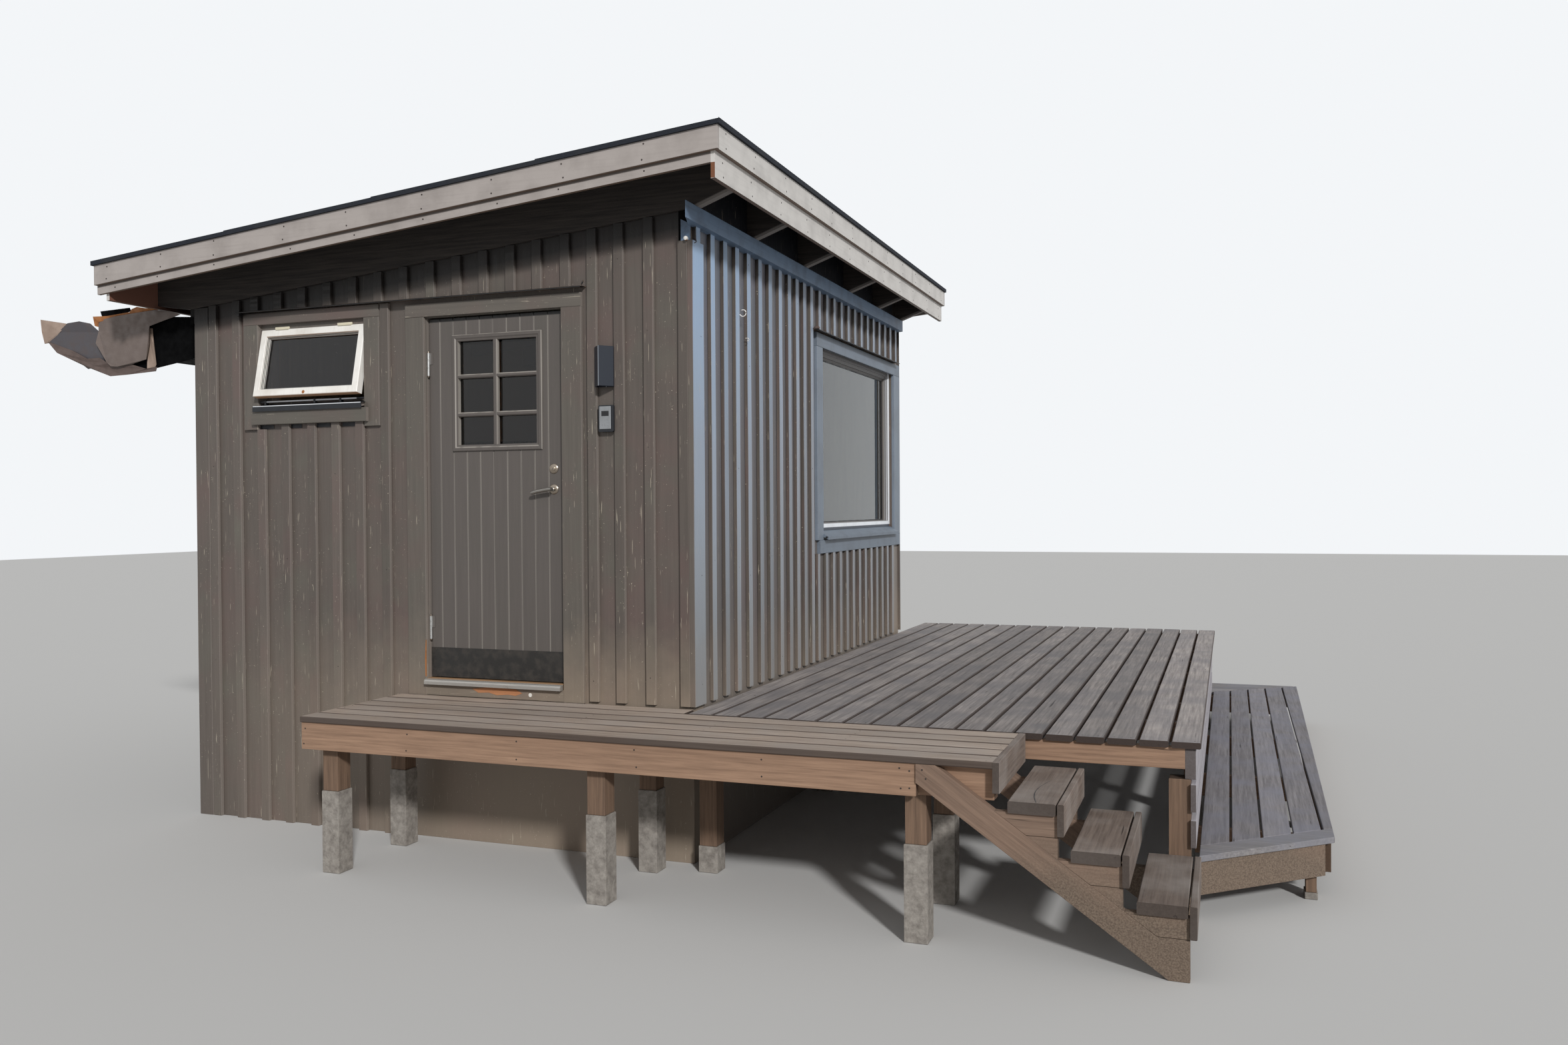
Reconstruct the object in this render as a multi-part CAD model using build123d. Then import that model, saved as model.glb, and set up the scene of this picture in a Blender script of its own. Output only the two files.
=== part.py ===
from build123d import *
from math import cos, radians, sin, tan
import os

# Sizes of the cabin, in millimetres. X runs along the door wall to the right, Y into the depth, Z up.
# Every place below is measured from the cabin's front right corner at the level of the ground.

# Heights above the ground
deck_height = 780
floor_rise = 55
cap_height = 2146
roof_over_caps = 629

# Cabin body
cabin_width = 3216
cabin_depth = 4028
wall_thickness = 118
batten_thickness = 22
floor_thickness = 120

# Roof
roof_pitch = 5.4
overhang_high = 300
overhang_low = 346
overhang_front = 378
overhang_back = 335
roof_board = 22
felt_thickness = 25
felt_lip = 12
fascia_board = 22
upper_fascia_height = 112
gable_lower_fascia_drop = 162
eave_lower_fascia_drop = 237
low_eave_fascia_drop = 200
rafter_width = 45
rafter_depth = 220
rafter_tail_depth = 160
rafter_gaps = (790, 850, 950, 740)
plate_height = 85
plate_reach = 30
plate_front_end = 150

# Door
door_left = -1602
door_opening_width = 844
door_head_drop = 94
door_trim_width = 118
head_trim_height = 76
door_frame_width = 40
door_frame_cover = 4
door_clearance = 8
leaf_thickness = 48
leaf_setback = 35
threshold_height = 28
threshold_rise = 62
threshold_reach = 30
threshold_depth = 100
kick_plate_height = 160
kick_plate_thickness = 2
glazing_left = 152
glazing_width = 556
glazing_top_drop = 93
glazing_height = 628
glazing_border = 32
glass_thickness = 4
hinge_radius = 7
hinge_length = 125
hinge_half_gap = 0.3
hinge_from_foot = 205
hinge_from_head = 181
hinge_flap_thickness = 3
hinge_flap_reach = 24
lock_from_edge = 55
lock_height = 1122
handle_height = 1014
rose_radius = 26
rose_thickness = 8
lever_radius = 9
lever_length = 125
lever_standoff = 45
lever_running_gap = 0.3

# Small window beside the door
small_window_left = -2748
small_window_width = 744
small_window_height = 498
small_window_head_drop = 68
small_trim_side = 102
small_sill_trim = 78
window_frame_depth = 62
window_setback = 56
head_block_setback = 8
small_frame_width = 28
small_frame_foot = 64
small_trim_foot = 25
apron_overlap = 30
sash_width = 62
sash_foot_room = 103
sash_thickness = 44
sash_side_gap = 8
sash_back_gap = 7
sash_drop_gap = 0.3
sash_tilt = 11.5

# Large window in the tall wall
big_window_from_back = 174
big_window_width = 1796
big_window_height = 1201
big_window_head_drop = 90
big_trim_side = 122
big_trim_far = 168
big_apron = 90
big_frame_width = 92
big_frame_cover = 40
big_frame_foot = 52
big_frame_setback = 40
big_frame_depth = 60
sill_lip = 32
sill_thickness = 20
sill_fall = 40

# Drip caps over the doors and windows
cap_thickness = 14
cap_reach = 42
front_cap_left = -2872
front_cap_right = -600
side_cap_past_near = 192
side_cap_past_far = 36

# Lamp and key box on the door wall
lamp_centre = -498
lamp_top = 1838
lamp_height = 205
lamp_width = 108
lamp_reach = 92
lamp_side = 30
lamp_shell = 6
lamp_cap = 10
key_box_centre = -486
key_box_top = 1538
key_box_height = 136
key_box_width = 88
key_box_depth = 34
key_box_corner = 8

# Deck and walkway
deck_board = 28
board_gap = 8
walkway_left = -1774
walkway_right = 1628
walkway_front = 778
walkway_fascia_drop = 162
walkway_fascia_board = 28
walkway_fascia_inset = 12
end_board_thickness = 28
end_board_height = 124
deck_front = 115
deck_right = 2393
deck_back = 4802
joist_width = 45
joist_drop = 120
walkway_joist_count = 6
deck_joist_count = 9
rim_inset = 20
deck_wall_gap = 5

# Posts and concrete piers
post_side = 90
pier_side = 100
walkway_pier_height = 405
deck_pier_height = 130
platform_pier_height = 30
walkway_post_left = -1700
walkway_post_right = 1255
inner_post = 60

# Stair at the end of the walkway
tread_count = 3
tread_run = 243
tread_rise = 172
first_tread_drop = 145
tread_depth = 192
tread_thickness = 48
nosing_thickness = 26
nosing_height = 125
stair_front = 790
stair_back = 95
first_tread_left = 1689
stringer_thickness = 45
stringer_left = 1317
stringer_height = 76
stringer_shoulder = 80
stringer_pitch = 34.8
stringer_inset = 14
stringer_back_inset = 20

# Low platform beside the main deck
platform_drop = 489
platform_left = 2384
platform_right_front = 2950
platform_right_back = 3021
platform_front_left = -85
platform_front_right = 427
platform_back = 5290
platform_fascia_height = 145
platform_fascia_board = 28
platform_fascia_inset = 12
platform_joist_first = 515
platform_joist_height = 120
platform_post_width = 45
platform_post_out = 80
cladding_board = 22
cladding_height = 117
cladding_gap = 36

# Dark box and bent sheet under the low eave
box_reach = 284
box_height = 198
box_rise = 46
box_depth = 420
box_under_plate = 10
sheet_thickness = 3


def block(x_low, x_high, y_low, y_high, z_low, z_high):
    """A plain block between two corners."""
    size = Box(x_high - x_low, y_high - y_low, z_high - z_low, align=(Align.MIN, Align.MIN, Align.MIN))
    return Pos(x_low, y_low, z_low) * size


def across(points, y_low, y_high):
    """A shape drawn in X and Z, carried along Y."""
    outline = Polyline(*[(x, y_low, z) for x, z in points], close=True)
    return extrude(make_face(outline), amount=y_high - y_low, dir=(0, 1, 0))


def along(points, x_low, x_high):
    """A shape drawn in Y and Z, carried along X."""
    outline = Polyline(*[(x_low, y, z) for y, z in points], close=True)
    return extrude(make_face(outline), amount=x_high - x_low, dir=(1, 0, 0))


def upright(points, z_low, z_high):
    """A shape drawn in X and Y, carried up."""
    outline = Polyline(*[(x, y, z_low) for x, y in points], close=True)
    return extrude(make_face(outline), amount=z_high - z_low, dir=(0, 0, 1))


def roof_z(x, drop=0):
    """Height of the roof's slope at x, measured down from the top of the upper fascia."""
    return deck_height + cap_height + roof_over_caps - (overhang_high - x) * tan(radians(roof_pitch)) - drop


def sloped(x_low, x_high, y_low, y_high, drop_top, drop_bottom):
    """A slab that follows the roof's slope between two drops."""
    return across(
        [
            (x_low, roof_z(x_low, drop_bottom)),
            (x_high, roof_z(x_high, drop_bottom)),
            (x_high, roof_z(x_high, drop_top)),
            (x_low, roof_z(x_low, drop_top)),
        ],
        y_low,
        y_high,
    )


# Planes that several pieces share
deck_top = deck_height
floor_top = deck_top + floor_rise
cap_low = deck_top + cap_height
front_plane = batten_thickness
side_plane = -batten_thickness
left_plane = -cabin_width + batten_thickness
back_plane = cabin_depth - batten_thickness
front_inner = front_plane + wall_thickness
side_inner = side_plane - wall_thickness
left_inner = left_plane + wall_thickness
back_inner = back_plane - wall_thickness
roof_left = -cabin_width - overhang_low
roof_right = overhang_high
roof_front = -overhang_front
roof_back = cabin_depth + overhang_back
rafter_drop = roof_board + rafter_depth

parts = {}


# Roof
def rafter_starts():
    """Front face of each rafter along the tall wall."""
    starts = [0]
    for gap in rafter_gaps:
        starts.append(starts[-1] + gap)
    return [*starts, cabin_depth - rafter_width]


def rafter(y_low):
    """A rafter that is full depth over the walls and tapers in its two tails."""
    right_end = roof_right - 2 * fascia_board
    left_end = roof_left + 3 * fascia_board
    tail_drop = roof_board + rafter_tail_depth
    return across(
        [
            (left_end, roof_z(left_end, roof_board)),
            (right_end, roof_z(right_end, roof_board)),
            (right_end, roof_z(right_end, tail_drop)),
            (plate_reach, roof_z(plate_reach, rafter_drop)),
            (-cabin_width - plate_reach, roof_z(-cabin_width - plate_reach, rafter_drop)),
            (left_end, roof_z(left_end, tail_drop)),
        ],
        y_low,
        y_low + rafter_width,
    )


rafters = [rafter(start) for start in rafter_starts()]
parts["rafters"] = Compound(rafters)

parts["roof_boards"] = sloped(
    roof_left + fascia_board,
    roof_right - fascia_board,
    roof_front + fascia_board,
    roof_back - fascia_board,
    0,
    roof_board,
)
parts["roof_felt"] = sloped(
    roof_left - felt_lip,
    roof_right + felt_lip,
    roof_front - felt_lip,
    roof_back + felt_lip,
    -felt_thickness,
    0,
)

# Fascia boards, upper ones outside and lower ones further in
parts["gable_fascias_upper"] = Compound(
    [
        sloped(roof_left, roof_right, y, y + fascia_board, 0, upper_fascia_height)
        for y in (roof_front, roof_back - fascia_board)
    ]
)


def eave_board(x, setback, drop_top, drop_bottom):
    """A board along an eave, set back from both gables."""
    return sloped(x, x + fascia_board, roof_front + setback, roof_back - setback, drop_top, drop_bottom)


# On the low side the gables' lower boards run past the eave's boards, on the high side they stop at them
parts["eave_fascias_upper"] = Compound(
    [
        eave_board(roof_left, 2 * fascia_board, 0, upper_fascia_height),
        eave_board(roof_right - fascia_board, fascia_board, 0, upper_fascia_height),
    ]
)
parts["eave_fascias_lower"] = Compound(
    [
        eave_board(roof_left + 2 * fascia_board, 2 * fascia_board, roof_board, low_eave_fascia_drop),
        eave_board(roof_right - 2 * fascia_board, fascia_board, roof_board, eave_lower_fascia_drop),
    ]
)


def gable_lower_board(y):
    """A gable's lower board, with a tooth up to the felt at its low end."""
    board_right = roof_right - 2 * fascia_board
    board = sloped(roof_left, board_right, y, y + fascia_board, roof_board, gable_lower_fascia_drop)
    return board + sloped(roof_left, roof_left + fascia_board, y, y + fascia_board, 0, roof_board)


parts["gable_fascias_lower"] = Compound(
    [gable_lower_board(y) for y in (roof_front + fascia_board, roof_back - 2 * fascia_board)]
)


# Walls, notched round the rafters
def wall_along_front(x_low, x_high, y_low, y_high, z_low):
    """A wall piece across the slope, from z_low up to the roof boards."""
    return across(
        [
            (x_low, z_low),
            (x_high, z_low),
            (x_high, roof_z(x_high, roof_board)),
            (x_low, roof_z(x_low, roof_board)),
        ],
        y_low,
        y_high,
    )


def notched(wall):
    """The wall with the rafters' places cut out."""
    for piece in rafters:
        wall = wall - piece
    return wall


door_right = door_left + door_opening_width
door_bottom = deck_top + threshold_rise
door_top = cap_low - door_head_drop
frame_left = door_left - door_frame_width
frame_right = door_right + door_frame_width
frame_top = door_top + door_frame_width

small_right = small_window_left + small_window_width
small_top = cap_low - small_window_head_drop
small_bottom = small_top - small_window_height

big_far = cabin_depth - big_window_from_back
big_near = big_far - big_window_width
big_head = cap_low - big_window_head_drop
big_top = big_head + big_frame_cover
big_bottom = big_head - big_window_height

front_wall_left = notched(wall_along_front(left_plane, frame_left, front_plane, front_inner, 0))
front_wall_left -= block(
    small_window_left, small_right, front_plane, front_inner, small_bottom, small_top
)
parts["front_wall_left"] = front_wall_left
parts["front_wall_over_door"] = notched(
    wall_along_front(frame_left, frame_right, front_plane, front_inner, frame_top)
)
parts["front_wall_right"] = notched(wall_along_front(frame_right, side_plane, front_plane, front_inner, 0))
parts["front_wall_under_door"] = block(frame_left, frame_right, front_plane, front_inner, 0, door_bottom)

window_wall = notched(wall_along_front(side_inner, side_plane, front_inner, back_inner, 0))
window_wall -= block(side_inner, side_plane, big_near, big_far, big_bottom, big_top)
parts["window_wall"] = window_wall
parts["left_wall"] = notched(wall_along_front(left_plane, left_inner, front_inner, back_inner, 0))
parts["back_wall"] = notched(wall_along_front(left_plane, side_plane, back_inner, back_plane, 0))
parts["floor"] = block(
    left_inner, side_inner, front_inner, back_inner, floor_top - floor_thickness, floor_top
)


# Plates under the rafter tails
def plate(x_low, x_high, y_low):
    """A bevelled plate whose top follows the rafters."""
    return across(
        [
            (x_low, roof_z(x_low, rafter_drop + plate_height)),
            (x_high, roof_z(x_high, rafter_drop + plate_height)),
            (x_high, roof_z(x_high, rafter_drop)),
            (x_low, roof_z(x_low, rafter_drop)),
        ],
        y_low,
        cabin_depth,
    )


parts["eave_plates"] = Compound(
    [
        plate(side_plane, plate_reach, -plate_front_end),
        plate(-cabin_width - plate_reach, left_plane, 0),
    ]
)

# Door frame, trim and threshold
parts["door_frame"] = block(
    frame_left, frame_right, front_plane, front_inner, door_bottom, frame_top
) - block(door_left, door_right, front_plane, front_inner, door_bottom, door_top)
trim_left = door_left - door_frame_cover - door_trim_width
trim_right = door_right + door_frame_cover + door_trim_width
trim_top = door_top + head_trim_height
parts["door_trim"] = block(trim_left, trim_right, 0, front_plane, deck_top, trim_top) - block(
    door_left - door_frame_cover, door_right + door_frame_cover, 0, front_plane, door_bottom, door_top
)
parts["threshold"] = block(
    door_left, door_right, -threshold_reach, threshold_depth, door_bottom, door_bottom + threshold_height
)

# Door leaf, drawn shut
leaf_left = door_left + door_clearance
leaf_right = door_right - door_clearance
leaf_bottom = door_bottom + threshold_height + door_clearance
leaf_top = door_top - door_clearance
leaf_front = leaf_setback
leaf_back = leaf_front + leaf_thickness
pane_left = leaf_left + glazing_left
pane_right = pane_left + glazing_width
pane_top = leaf_top - glazing_top_drop
pane_bottom = pane_top - glazing_height
leaf = block(leaf_left, leaf_right, leaf_front, leaf_back, leaf_bottom, leaf_top)
leaf -= block(
    pane_left + glazing_border,
    pane_right - glazing_border,
    leaf_front,
    leaf_back,
    pane_bottom + glazing_border,
    pane_top - glazing_border,
)
parts["door_leaf"] = leaf

bead_reach = 10
glazing_beads = block(
    pane_left, pane_right, leaf_front - bead_reach, leaf_front, pane_bottom, pane_top
) - block(
    pane_left + glazing_border,
    pane_right - glazing_border,
    leaf_front - bead_reach,
    leaf_front,
    pane_bottom + glazing_border,
    pane_top - glazing_border,
)
parts["door_glazing_beads"] = glazing_beads
glass_middle = (leaf_front + leaf_back) / 2
parts["door_glass"] = block(
    pane_left + glazing_border,
    pane_right - glazing_border,
    glass_middle - glass_thickness / 2,
    glass_middle + glass_thickness / 2,
    pane_bottom + glazing_border,
    pane_top - glazing_border,
)
parts["door_kick_plate"] = block(
    leaf_left,
    leaf_right,
    leaf_front - kick_plate_thickness,
    leaf_front,
    leaf_bottom,
    leaf_bottom + kick_plate_height,
)

# Lift-off hinges at the leaf's left edge: the lower half is held by the frame, the upper by the leaf
hinge_x = leaf_left
hinge_y = leaf_front - hinge_radius
hinge_half = (hinge_length - hinge_half_gap) / 2


def knuckle(z_low):
    """Half of a hinge's barrel."""
    return Pos(hinge_x, hinge_y, z_low) * Cylinder(
        hinge_radius, hinge_half, align=(Align.CENTER, Align.CENTER, Align.MIN)
    )


def leaf_hinge(z_low):
    """The upper half, with its flap on the leaf's face."""
    flap = block(
        hinge_x,
        hinge_x + hinge_flap_reach,
        leaf_front - hinge_flap_thickness,
        leaf_front,
        z_low,
        z_low + hinge_half,
    )
    return knuckle(z_low) + flap


def frame_hinge(z_low):
    """The lower half, with its flap on the edge of the door's frame."""
    flap = block(
        door_left,
        hinge_x,
        hinge_y - hinge_flap_thickness / 2,
        hinge_y + hinge_flap_thickness / 2,
        z_low,
        z_low + hinge_half,
    )
    return knuckle(z_low) + flap


hinge_places = [leaf_bottom + hinge_from_foot, leaf_top - hinge_from_head - hinge_length]
parts["frame_hinges"] = Compound([frame_hinge(z) for z in hinge_places])
parts["door_hinges"] = Compound([leaf_hinge(z + hinge_length - hinge_half) for z in hinge_places])

# Lock cylinder, rose and lever
lock_x = leaf_right - lock_from_edge
parts["door_lock"] = Compound(
    [
        Pos(lock_x, leaf_front, leaf_bottom + z)
        * Rot(90, 0, 0)
        * Cylinder(rose_radius, rose_thickness, align=(Align.CENTER, Align.CENTER, Align.MIN))
        for z in (lock_height, handle_height)
    ]
)
lever_z = leaf_bottom + handle_height
lever_start = leaf_front - rose_thickness - lever_running_gap
neck = (
    Pos(lock_x, lever_start, lever_z)
    * Rot(90, 0, 0)
    * Cylinder(lever_radius, lever_standoff, align=(Align.CENTER, Align.CENTER, Align.MIN))
)
grip_y = lever_start - lever_standoff + lever_radius
grip = (
    Pos(lock_x, grip_y, lever_z)
    * Rot(0, -90, 0)
    * Cylinder(lever_radius, lever_length, align=(Align.CENTER, Align.CENTER, Align.MIN))
)
parts["door_handle"] = neck + grip

# Small window: frame, trim, and a sash hung at its head and tilted out at its foot
parts["small_window_frame"] = block(
    small_window_left,
    small_right,
    front_plane + window_setback,
    front_plane + window_setback + window_frame_depth,
    small_bottom,
    small_top,
) - block(
    small_window_left + small_frame_width,
    small_right - small_frame_width,
    front_plane + window_setback,
    front_plane + window_setback + window_frame_depth,
    small_bottom + small_frame_foot,
    small_top - small_frame_width,
)
small_head = block(
    small_window_left,
    small_right,
    front_plane + head_block_setback,
    front_plane + window_setback,
    small_top - small_frame_width,
    small_top,
)
sill_back = front_plane + window_setback
sill_high = small_bottom + small_frame_foot - sill_thickness
small_sill = along(
    [
        (-sill_lip, sill_high - sill_fall),
        (sill_back, sill_high - sill_thickness),
        (sill_back, sill_high),
        (-sill_lip, sill_high - sill_fall + sill_thickness),
    ],
    small_window_left,
    small_right,
)
parts["small_window_frame"] = parts["small_window_frame"] + small_head + small_sill

# The sash is drawn upright below its hinge line, then swung out
sash_left = small_window_left + sash_side_gap
sash_right = small_right - sash_side_gap
sash_top = small_top - small_frame_width - sash_drop_gap - sash_thickness * sin(radians(sash_tilt))
sash_low = sash_top - small_window_height + sash_foot_room
sash_back = front_plane + window_setback - sash_back_gap
sash_front = sash_back - sash_thickness
sash_axis = Axis((0, sash_back, sash_top), (1, 0, 0))
sash_frame = block(sash_left, sash_right, sash_front, sash_back, sash_low, sash_top) - block(
    sash_left + sash_width,
    sash_right - sash_width,
    sash_front,
    sash_back,
    sash_low + sash_width,
    sash_top - sash_width,
)
parts["small_window_sash"] = sash_frame.rotate(sash_axis, -sash_tilt)
sash_middle = (sash_front + sash_back) / 2
parts["small_window_glass"] = block(
    sash_left + sash_width,
    sash_right - sash_width,
    sash_middle - glass_thickness / 2,
    sash_middle + glass_thickness / 2,
    sash_low + sash_width,
    sash_top - sash_width,
).rotate(sash_axis, -sash_tilt)

apron_top = small_bottom
apron_bottom = small_bottom - small_sill_trim
small_trim = block(
    small_window_left - small_trim_side,
    small_right + small_trim_side,
    0,
    front_plane,
    apron_bottom - small_trim_foot,
    cap_low,
) - block(small_window_left, small_right, 0, front_plane, apron_bottom - small_trim_foot, small_top)
small_apron = block(
    small_window_left - apron_overlap,
    small_right + apron_overlap,
    -batten_thickness,
    0,
    apron_bottom,
    apron_top,
)
apron_packing = block(small_window_left, small_right, 0, front_plane, apron_bottom, apron_top)
parts["small_window_trim"] = small_trim + apron_packing + small_apron

# Large window
frame_face = side_plane - big_frame_setback + batten_thickness
frame_back = frame_face - big_frame_depth
parts["big_window_frame"] = block(
    frame_back, frame_face, big_near, big_far, big_bottom, big_top
) - block(
    frame_back,
    frame_face,
    big_near + big_frame_width,
    big_far - big_frame_width,
    big_bottom + big_frame_foot,
    big_top - big_frame_width,
)
big_glass_face = frame_back + big_frame_depth / 3
parts["big_window_glass"] = block(
    big_glass_face - glass_thickness,
    big_glass_face,
    big_near + big_frame_width,
    big_far - big_frame_width,
    big_bottom + big_frame_foot,
    big_top - big_frame_width,
)
big_apron_top = big_bottom - sill_fall - sill_thickness
big_apron_bottom = big_apron_top - big_apron
parts["big_window_trim"] = block(
    side_plane,
    0,
    big_near - big_trim_side,
    big_far + big_trim_far,
    big_apron_bottom,
    cap_low,
) - block(side_plane, 0, big_near, big_far, big_apron_top, big_head)
parts["big_window_sill"] = across(
    [
        (frame_face, big_bottom - sill_thickness),
        (frame_face, big_bottom),
        (sill_lip, big_bottom - sill_fall),
        (sill_lip, big_bottom - sill_fall - sill_thickness),
    ],
    big_near,
    big_far,
)
parts["window_wall"] = parts["window_wall"] - block(
    frame_face, side_plane, big_near, big_far, big_bottom - sill_fall, big_bottom
)

# Drip caps
cap_high = cap_low + cap_thickness
parts["drip_caps"] = Compound(
    [
        block(front_cap_left, front_cap_right, -cap_reach, front_plane, cap_low, cap_high),
        block(
            side_plane,
            cap_reach,
            big_near - side_cap_past_near,
            big_far + side_cap_past_far,
            cap_low,
            cap_high,
        ),
    ]
)

# Wall lamp: a ridged shade, open below
lamp_low = deck_top + lamp_top - lamp_height


def lamp_outline(inset):
    """Plan of the lamp: flat on the wall with a ridge in front."""
    half = lamp_width / 2 - inset
    return [
        (lamp_centre - half, front_plane),
        (lamp_centre + half, front_plane),
        (lamp_centre + half, front_plane - lamp_side + inset),
        (lamp_centre, front_plane - lamp_reach + inset),
        (lamp_centre - half, front_plane - lamp_side + inset),
    ]


lamp_body = upright(lamp_outline(0), lamp_low, lamp_low + lamp_height)
lamp_hollow = upright(lamp_outline(lamp_shell), lamp_low, lamp_low + lamp_height - lamp_cap)
parts["wall_lamp"] = lamp_body - lamp_hollow + block(
    lamp_centre - lamp_width / 2,
    lamp_centre + lamp_width / 2,
    front_plane - lamp_shell,
    front_plane,
    lamp_low,
    lamp_low + lamp_height,
)
key_box_z = deck_top + key_box_top - key_box_height
parts["key_box"] = fillet(
    block(
        key_box_centre - key_box_width / 2,
        key_box_centre + key_box_width / 2,
        front_plane - key_box_depth,
        front_plane,
        key_box_z,
        key_box_z + key_box_height,
    )
    .edges()
    .filter_by(Axis.Y),
    key_box_corner,
)

# Walkway
board_low = deck_top - deck_board
walkway_back = deck_front + board_gap
parts["walkway_boards"] = block(
    walkway_left, walkway_right, -walkway_front, -walkway_back, board_low, deck_top
) + block(walkway_left, -board_gap, -walkway_back, -deck_wall_gap, board_low, deck_top)
fascia_front = -walkway_front + walkway_fascia_inset
fascia_low = deck_top - walkway_fascia_drop
stair_face = -stair_front + stringer_inset
rim_front = stair_face + stringer_thickness
beam_front = rim_front + walkway_fascia_board
parts["walkway_fascias"] = Compound(
    [
        block(
            walkway_left,
            stringer_left,
            fascia_front,
            fascia_front + walkway_fascia_board,
            fascia_low,
            board_low,
        ),
        block(stringer_left, walkway_right, rim_front, beam_front, fascia_low, board_low),
    ]
)
parts["walkway_end_board"] = block(
    walkway_right,
    walkway_right + end_board_thickness,
    -walkway_front,
    -walkway_back,
    deck_top - end_board_height,
    deck_top,
)


def spread(first, last, count):
    """Evenly spaced places from first to last."""
    return [first + (last - first) * k / (count - 1) for k in range(count)]


joist_low = deck_top - joist_drop
joist_front = beam_front + joist_width
deck_joist_front = -deck_front + rim_inset
bearer_front = deck_joist_front - joist_width
parts["walkway_beams"] = Compound(
    [
        block(walkway_left, walkway_right, beam_front, joist_front, fascia_low, board_low),
        block(walkway_left, stringer_left, bearer_front, deck_joist_front, fascia_low, joist_low),
    ]
)
walkway_joists = []
for x in spread(walkway_left, walkway_right - joist_width, walkway_joist_count):
    joist_back = front_plane if x + joist_width < side_plane else deck_joist_front
    walkway_joists.append(block(x, x + joist_width, joist_front, joist_back, joist_low, board_low))
parts["walkway_joists"] = Compound(walkway_joists)

# Main deck
deck_joist_ys = spread(deck_joist_front, deck_back - rim_inset - joist_width, deck_joist_count)
rim_right = deck_right - rim_inset
parts["main_deck_boards"] = block(board_gap, deck_right, -deck_front, deck_back, board_low, deck_top)


def deck_joist_left(y):
    """A joist beside the cabin bears on its wall, the others end at the deck's edge."""
    return side_plane if front_plane < y < back_plane - joist_width else board_gap


parts["main_deck_joists"] = Compound(
    [
        block(deck_joist_left(y), rim_right - joist_width, y, y + joist_width, joist_low, board_low)
        for y in deck_joist_ys
    ]
)
parts["main_deck_rim"] = block(
    rim_right - joist_width,
    rim_right,
    -deck_front + rim_inset,
    deck_back - rim_inset,
    deck_top - walkway_fascia_drop,
    board_low,
)
cladding_top = deck_top - walkway_fascia_drop - cladding_gap / 2
parts["step_cladding"] = Compound(
    [
        block(
            rim_right - cladding_board,
            rim_right,
            -deck_front,
            deck_back - rim_inset,
            cladding_top - (k + 1) * cladding_height - k * cladding_gap,
            cladding_top - k * (cladding_height + cladding_gap),
        )
        for k in range(2)
    ]
)

# Low platform: a wide low step along the deck's right side and round its back corner
platform_top = deck_top - platform_drop
platform_low = platform_top - deck_board
inner_corner = (platform_left, deck_back + board_gap)
outer_corner = (platform_right_back, platform_back)
side_front = [(platform_left, platform_front_left), (platform_right_front, platform_front_right)]
parts["platform_side_boards"] = upright(
    [*side_front, outer_corner, inner_corner], platform_low, platform_top
)
parts["platform_back_boards"] = upright(
    [inner_corner, outer_corner, (board_gap, platform_back), (board_gap, inner_corner[1])],
    platform_low,
    platform_top,
)


def fascia_wall(start, end, inset, thickness, low, high):
    """A board on edge under a straight side of the platform, set in from that side."""
    run = Vector(end[0] - start[0], end[1] - start[1], 0)
    length = run.length
    way = run.normalized()
    inward = Vector(-way.Y, way.X, 0)
    outer_start = Vector(start[0], start[1], 0) + inward * inset
    outer_end = outer_start + way * length
    inner_end = outer_end + inward * thickness
    inner_start = outer_start + inward * thickness
    corners = [(p.X, p.Y) for p in (outer_start, outer_end, inner_end, inner_start)]
    return upright(corners, low, high)


fascia_bottom = platform_low - platform_fascia_height
inset_line = platform_fascia_inset + platform_fascia_board
front_fascia = fascia_wall(
    *side_front, platform_fascia_inset, platform_fascia_board, fascia_bottom, platform_low
) & block(
    platform_left,
    platform_right_front - inset_line,
    platform_front_left,
    platform_back,
    fascia_bottom,
    platform_low,
)
back_fascia = block(
    board_gap,
    platform_right_back - platform_fascia_inset,
    platform_back - inset_line,
    platform_back - platform_fascia_inset,
    fascia_bottom,
    platform_low,
)
parts["platform_fascia_ends"] = Compound([front_fascia, back_fascia])
parts["platform_fascia_side"] = fascia_wall(
    (platform_right_front, platform_front_right + inset_line),
    outer_corner,
    platform_fascia_inset,
    platform_fascia_board,
    fascia_bottom,
    platform_low,
) & block(
    platform_left,
    platform_right_back,
    platform_front_right,
    platform_back - inset_line,
    fascia_bottom,
    platform_low,
)

# Joists under the platform, from the posts of the main deck to the right fascia
deck_post_right = rim_right - cladding_board - post_side
last_post_y = deck_joist_ys[-1] + joist_width - post_side
deck_post_ys = [deck_joist_ys[0], deck_joist_ys[3], deck_joist_ys[5], last_post_y]
platform_joist_left = deck_post_right + post_side
platform_joist_low = platform_low - platform_joist_height
platform_joist_right = platform_right_front - inset_line
platform_joist_last = platform_back - inset_line - joist_width
platform_joist_ys = [platform_joist_first, *deck_post_ys[1:], platform_joist_last]
parts["platform_joists"] = Compound(
    [
        block(platform_joist_left, platform_joist_right, y, y + joist_width, platform_joist_low, platform_low)
        for y in platform_joist_ys
    ]
)

# Posts on concrete piers
posts = []
piers = []


def post(x_low, y_low, width, z_high, pier_height):
    """A post and the concrete pier under it."""
    spare = (pier_side - post_side) / 2
    posts.append(block(x_low, x_low + width, y_low, y_low + post_side, pier_height, z_high))
    piers.append(
        block(x_low - spare, x_low + width + spare, y_low - spare, y_low + post_side + spare, 0, pier_height)
    )


for x in spread(walkway_post_left, walkway_post_right, 3):
    post(x, beam_front, post_side, fascia_low, walkway_pier_height)
    post(x, deck_joist_front - post_side, post_side, fascia_low, walkway_pier_height)

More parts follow.
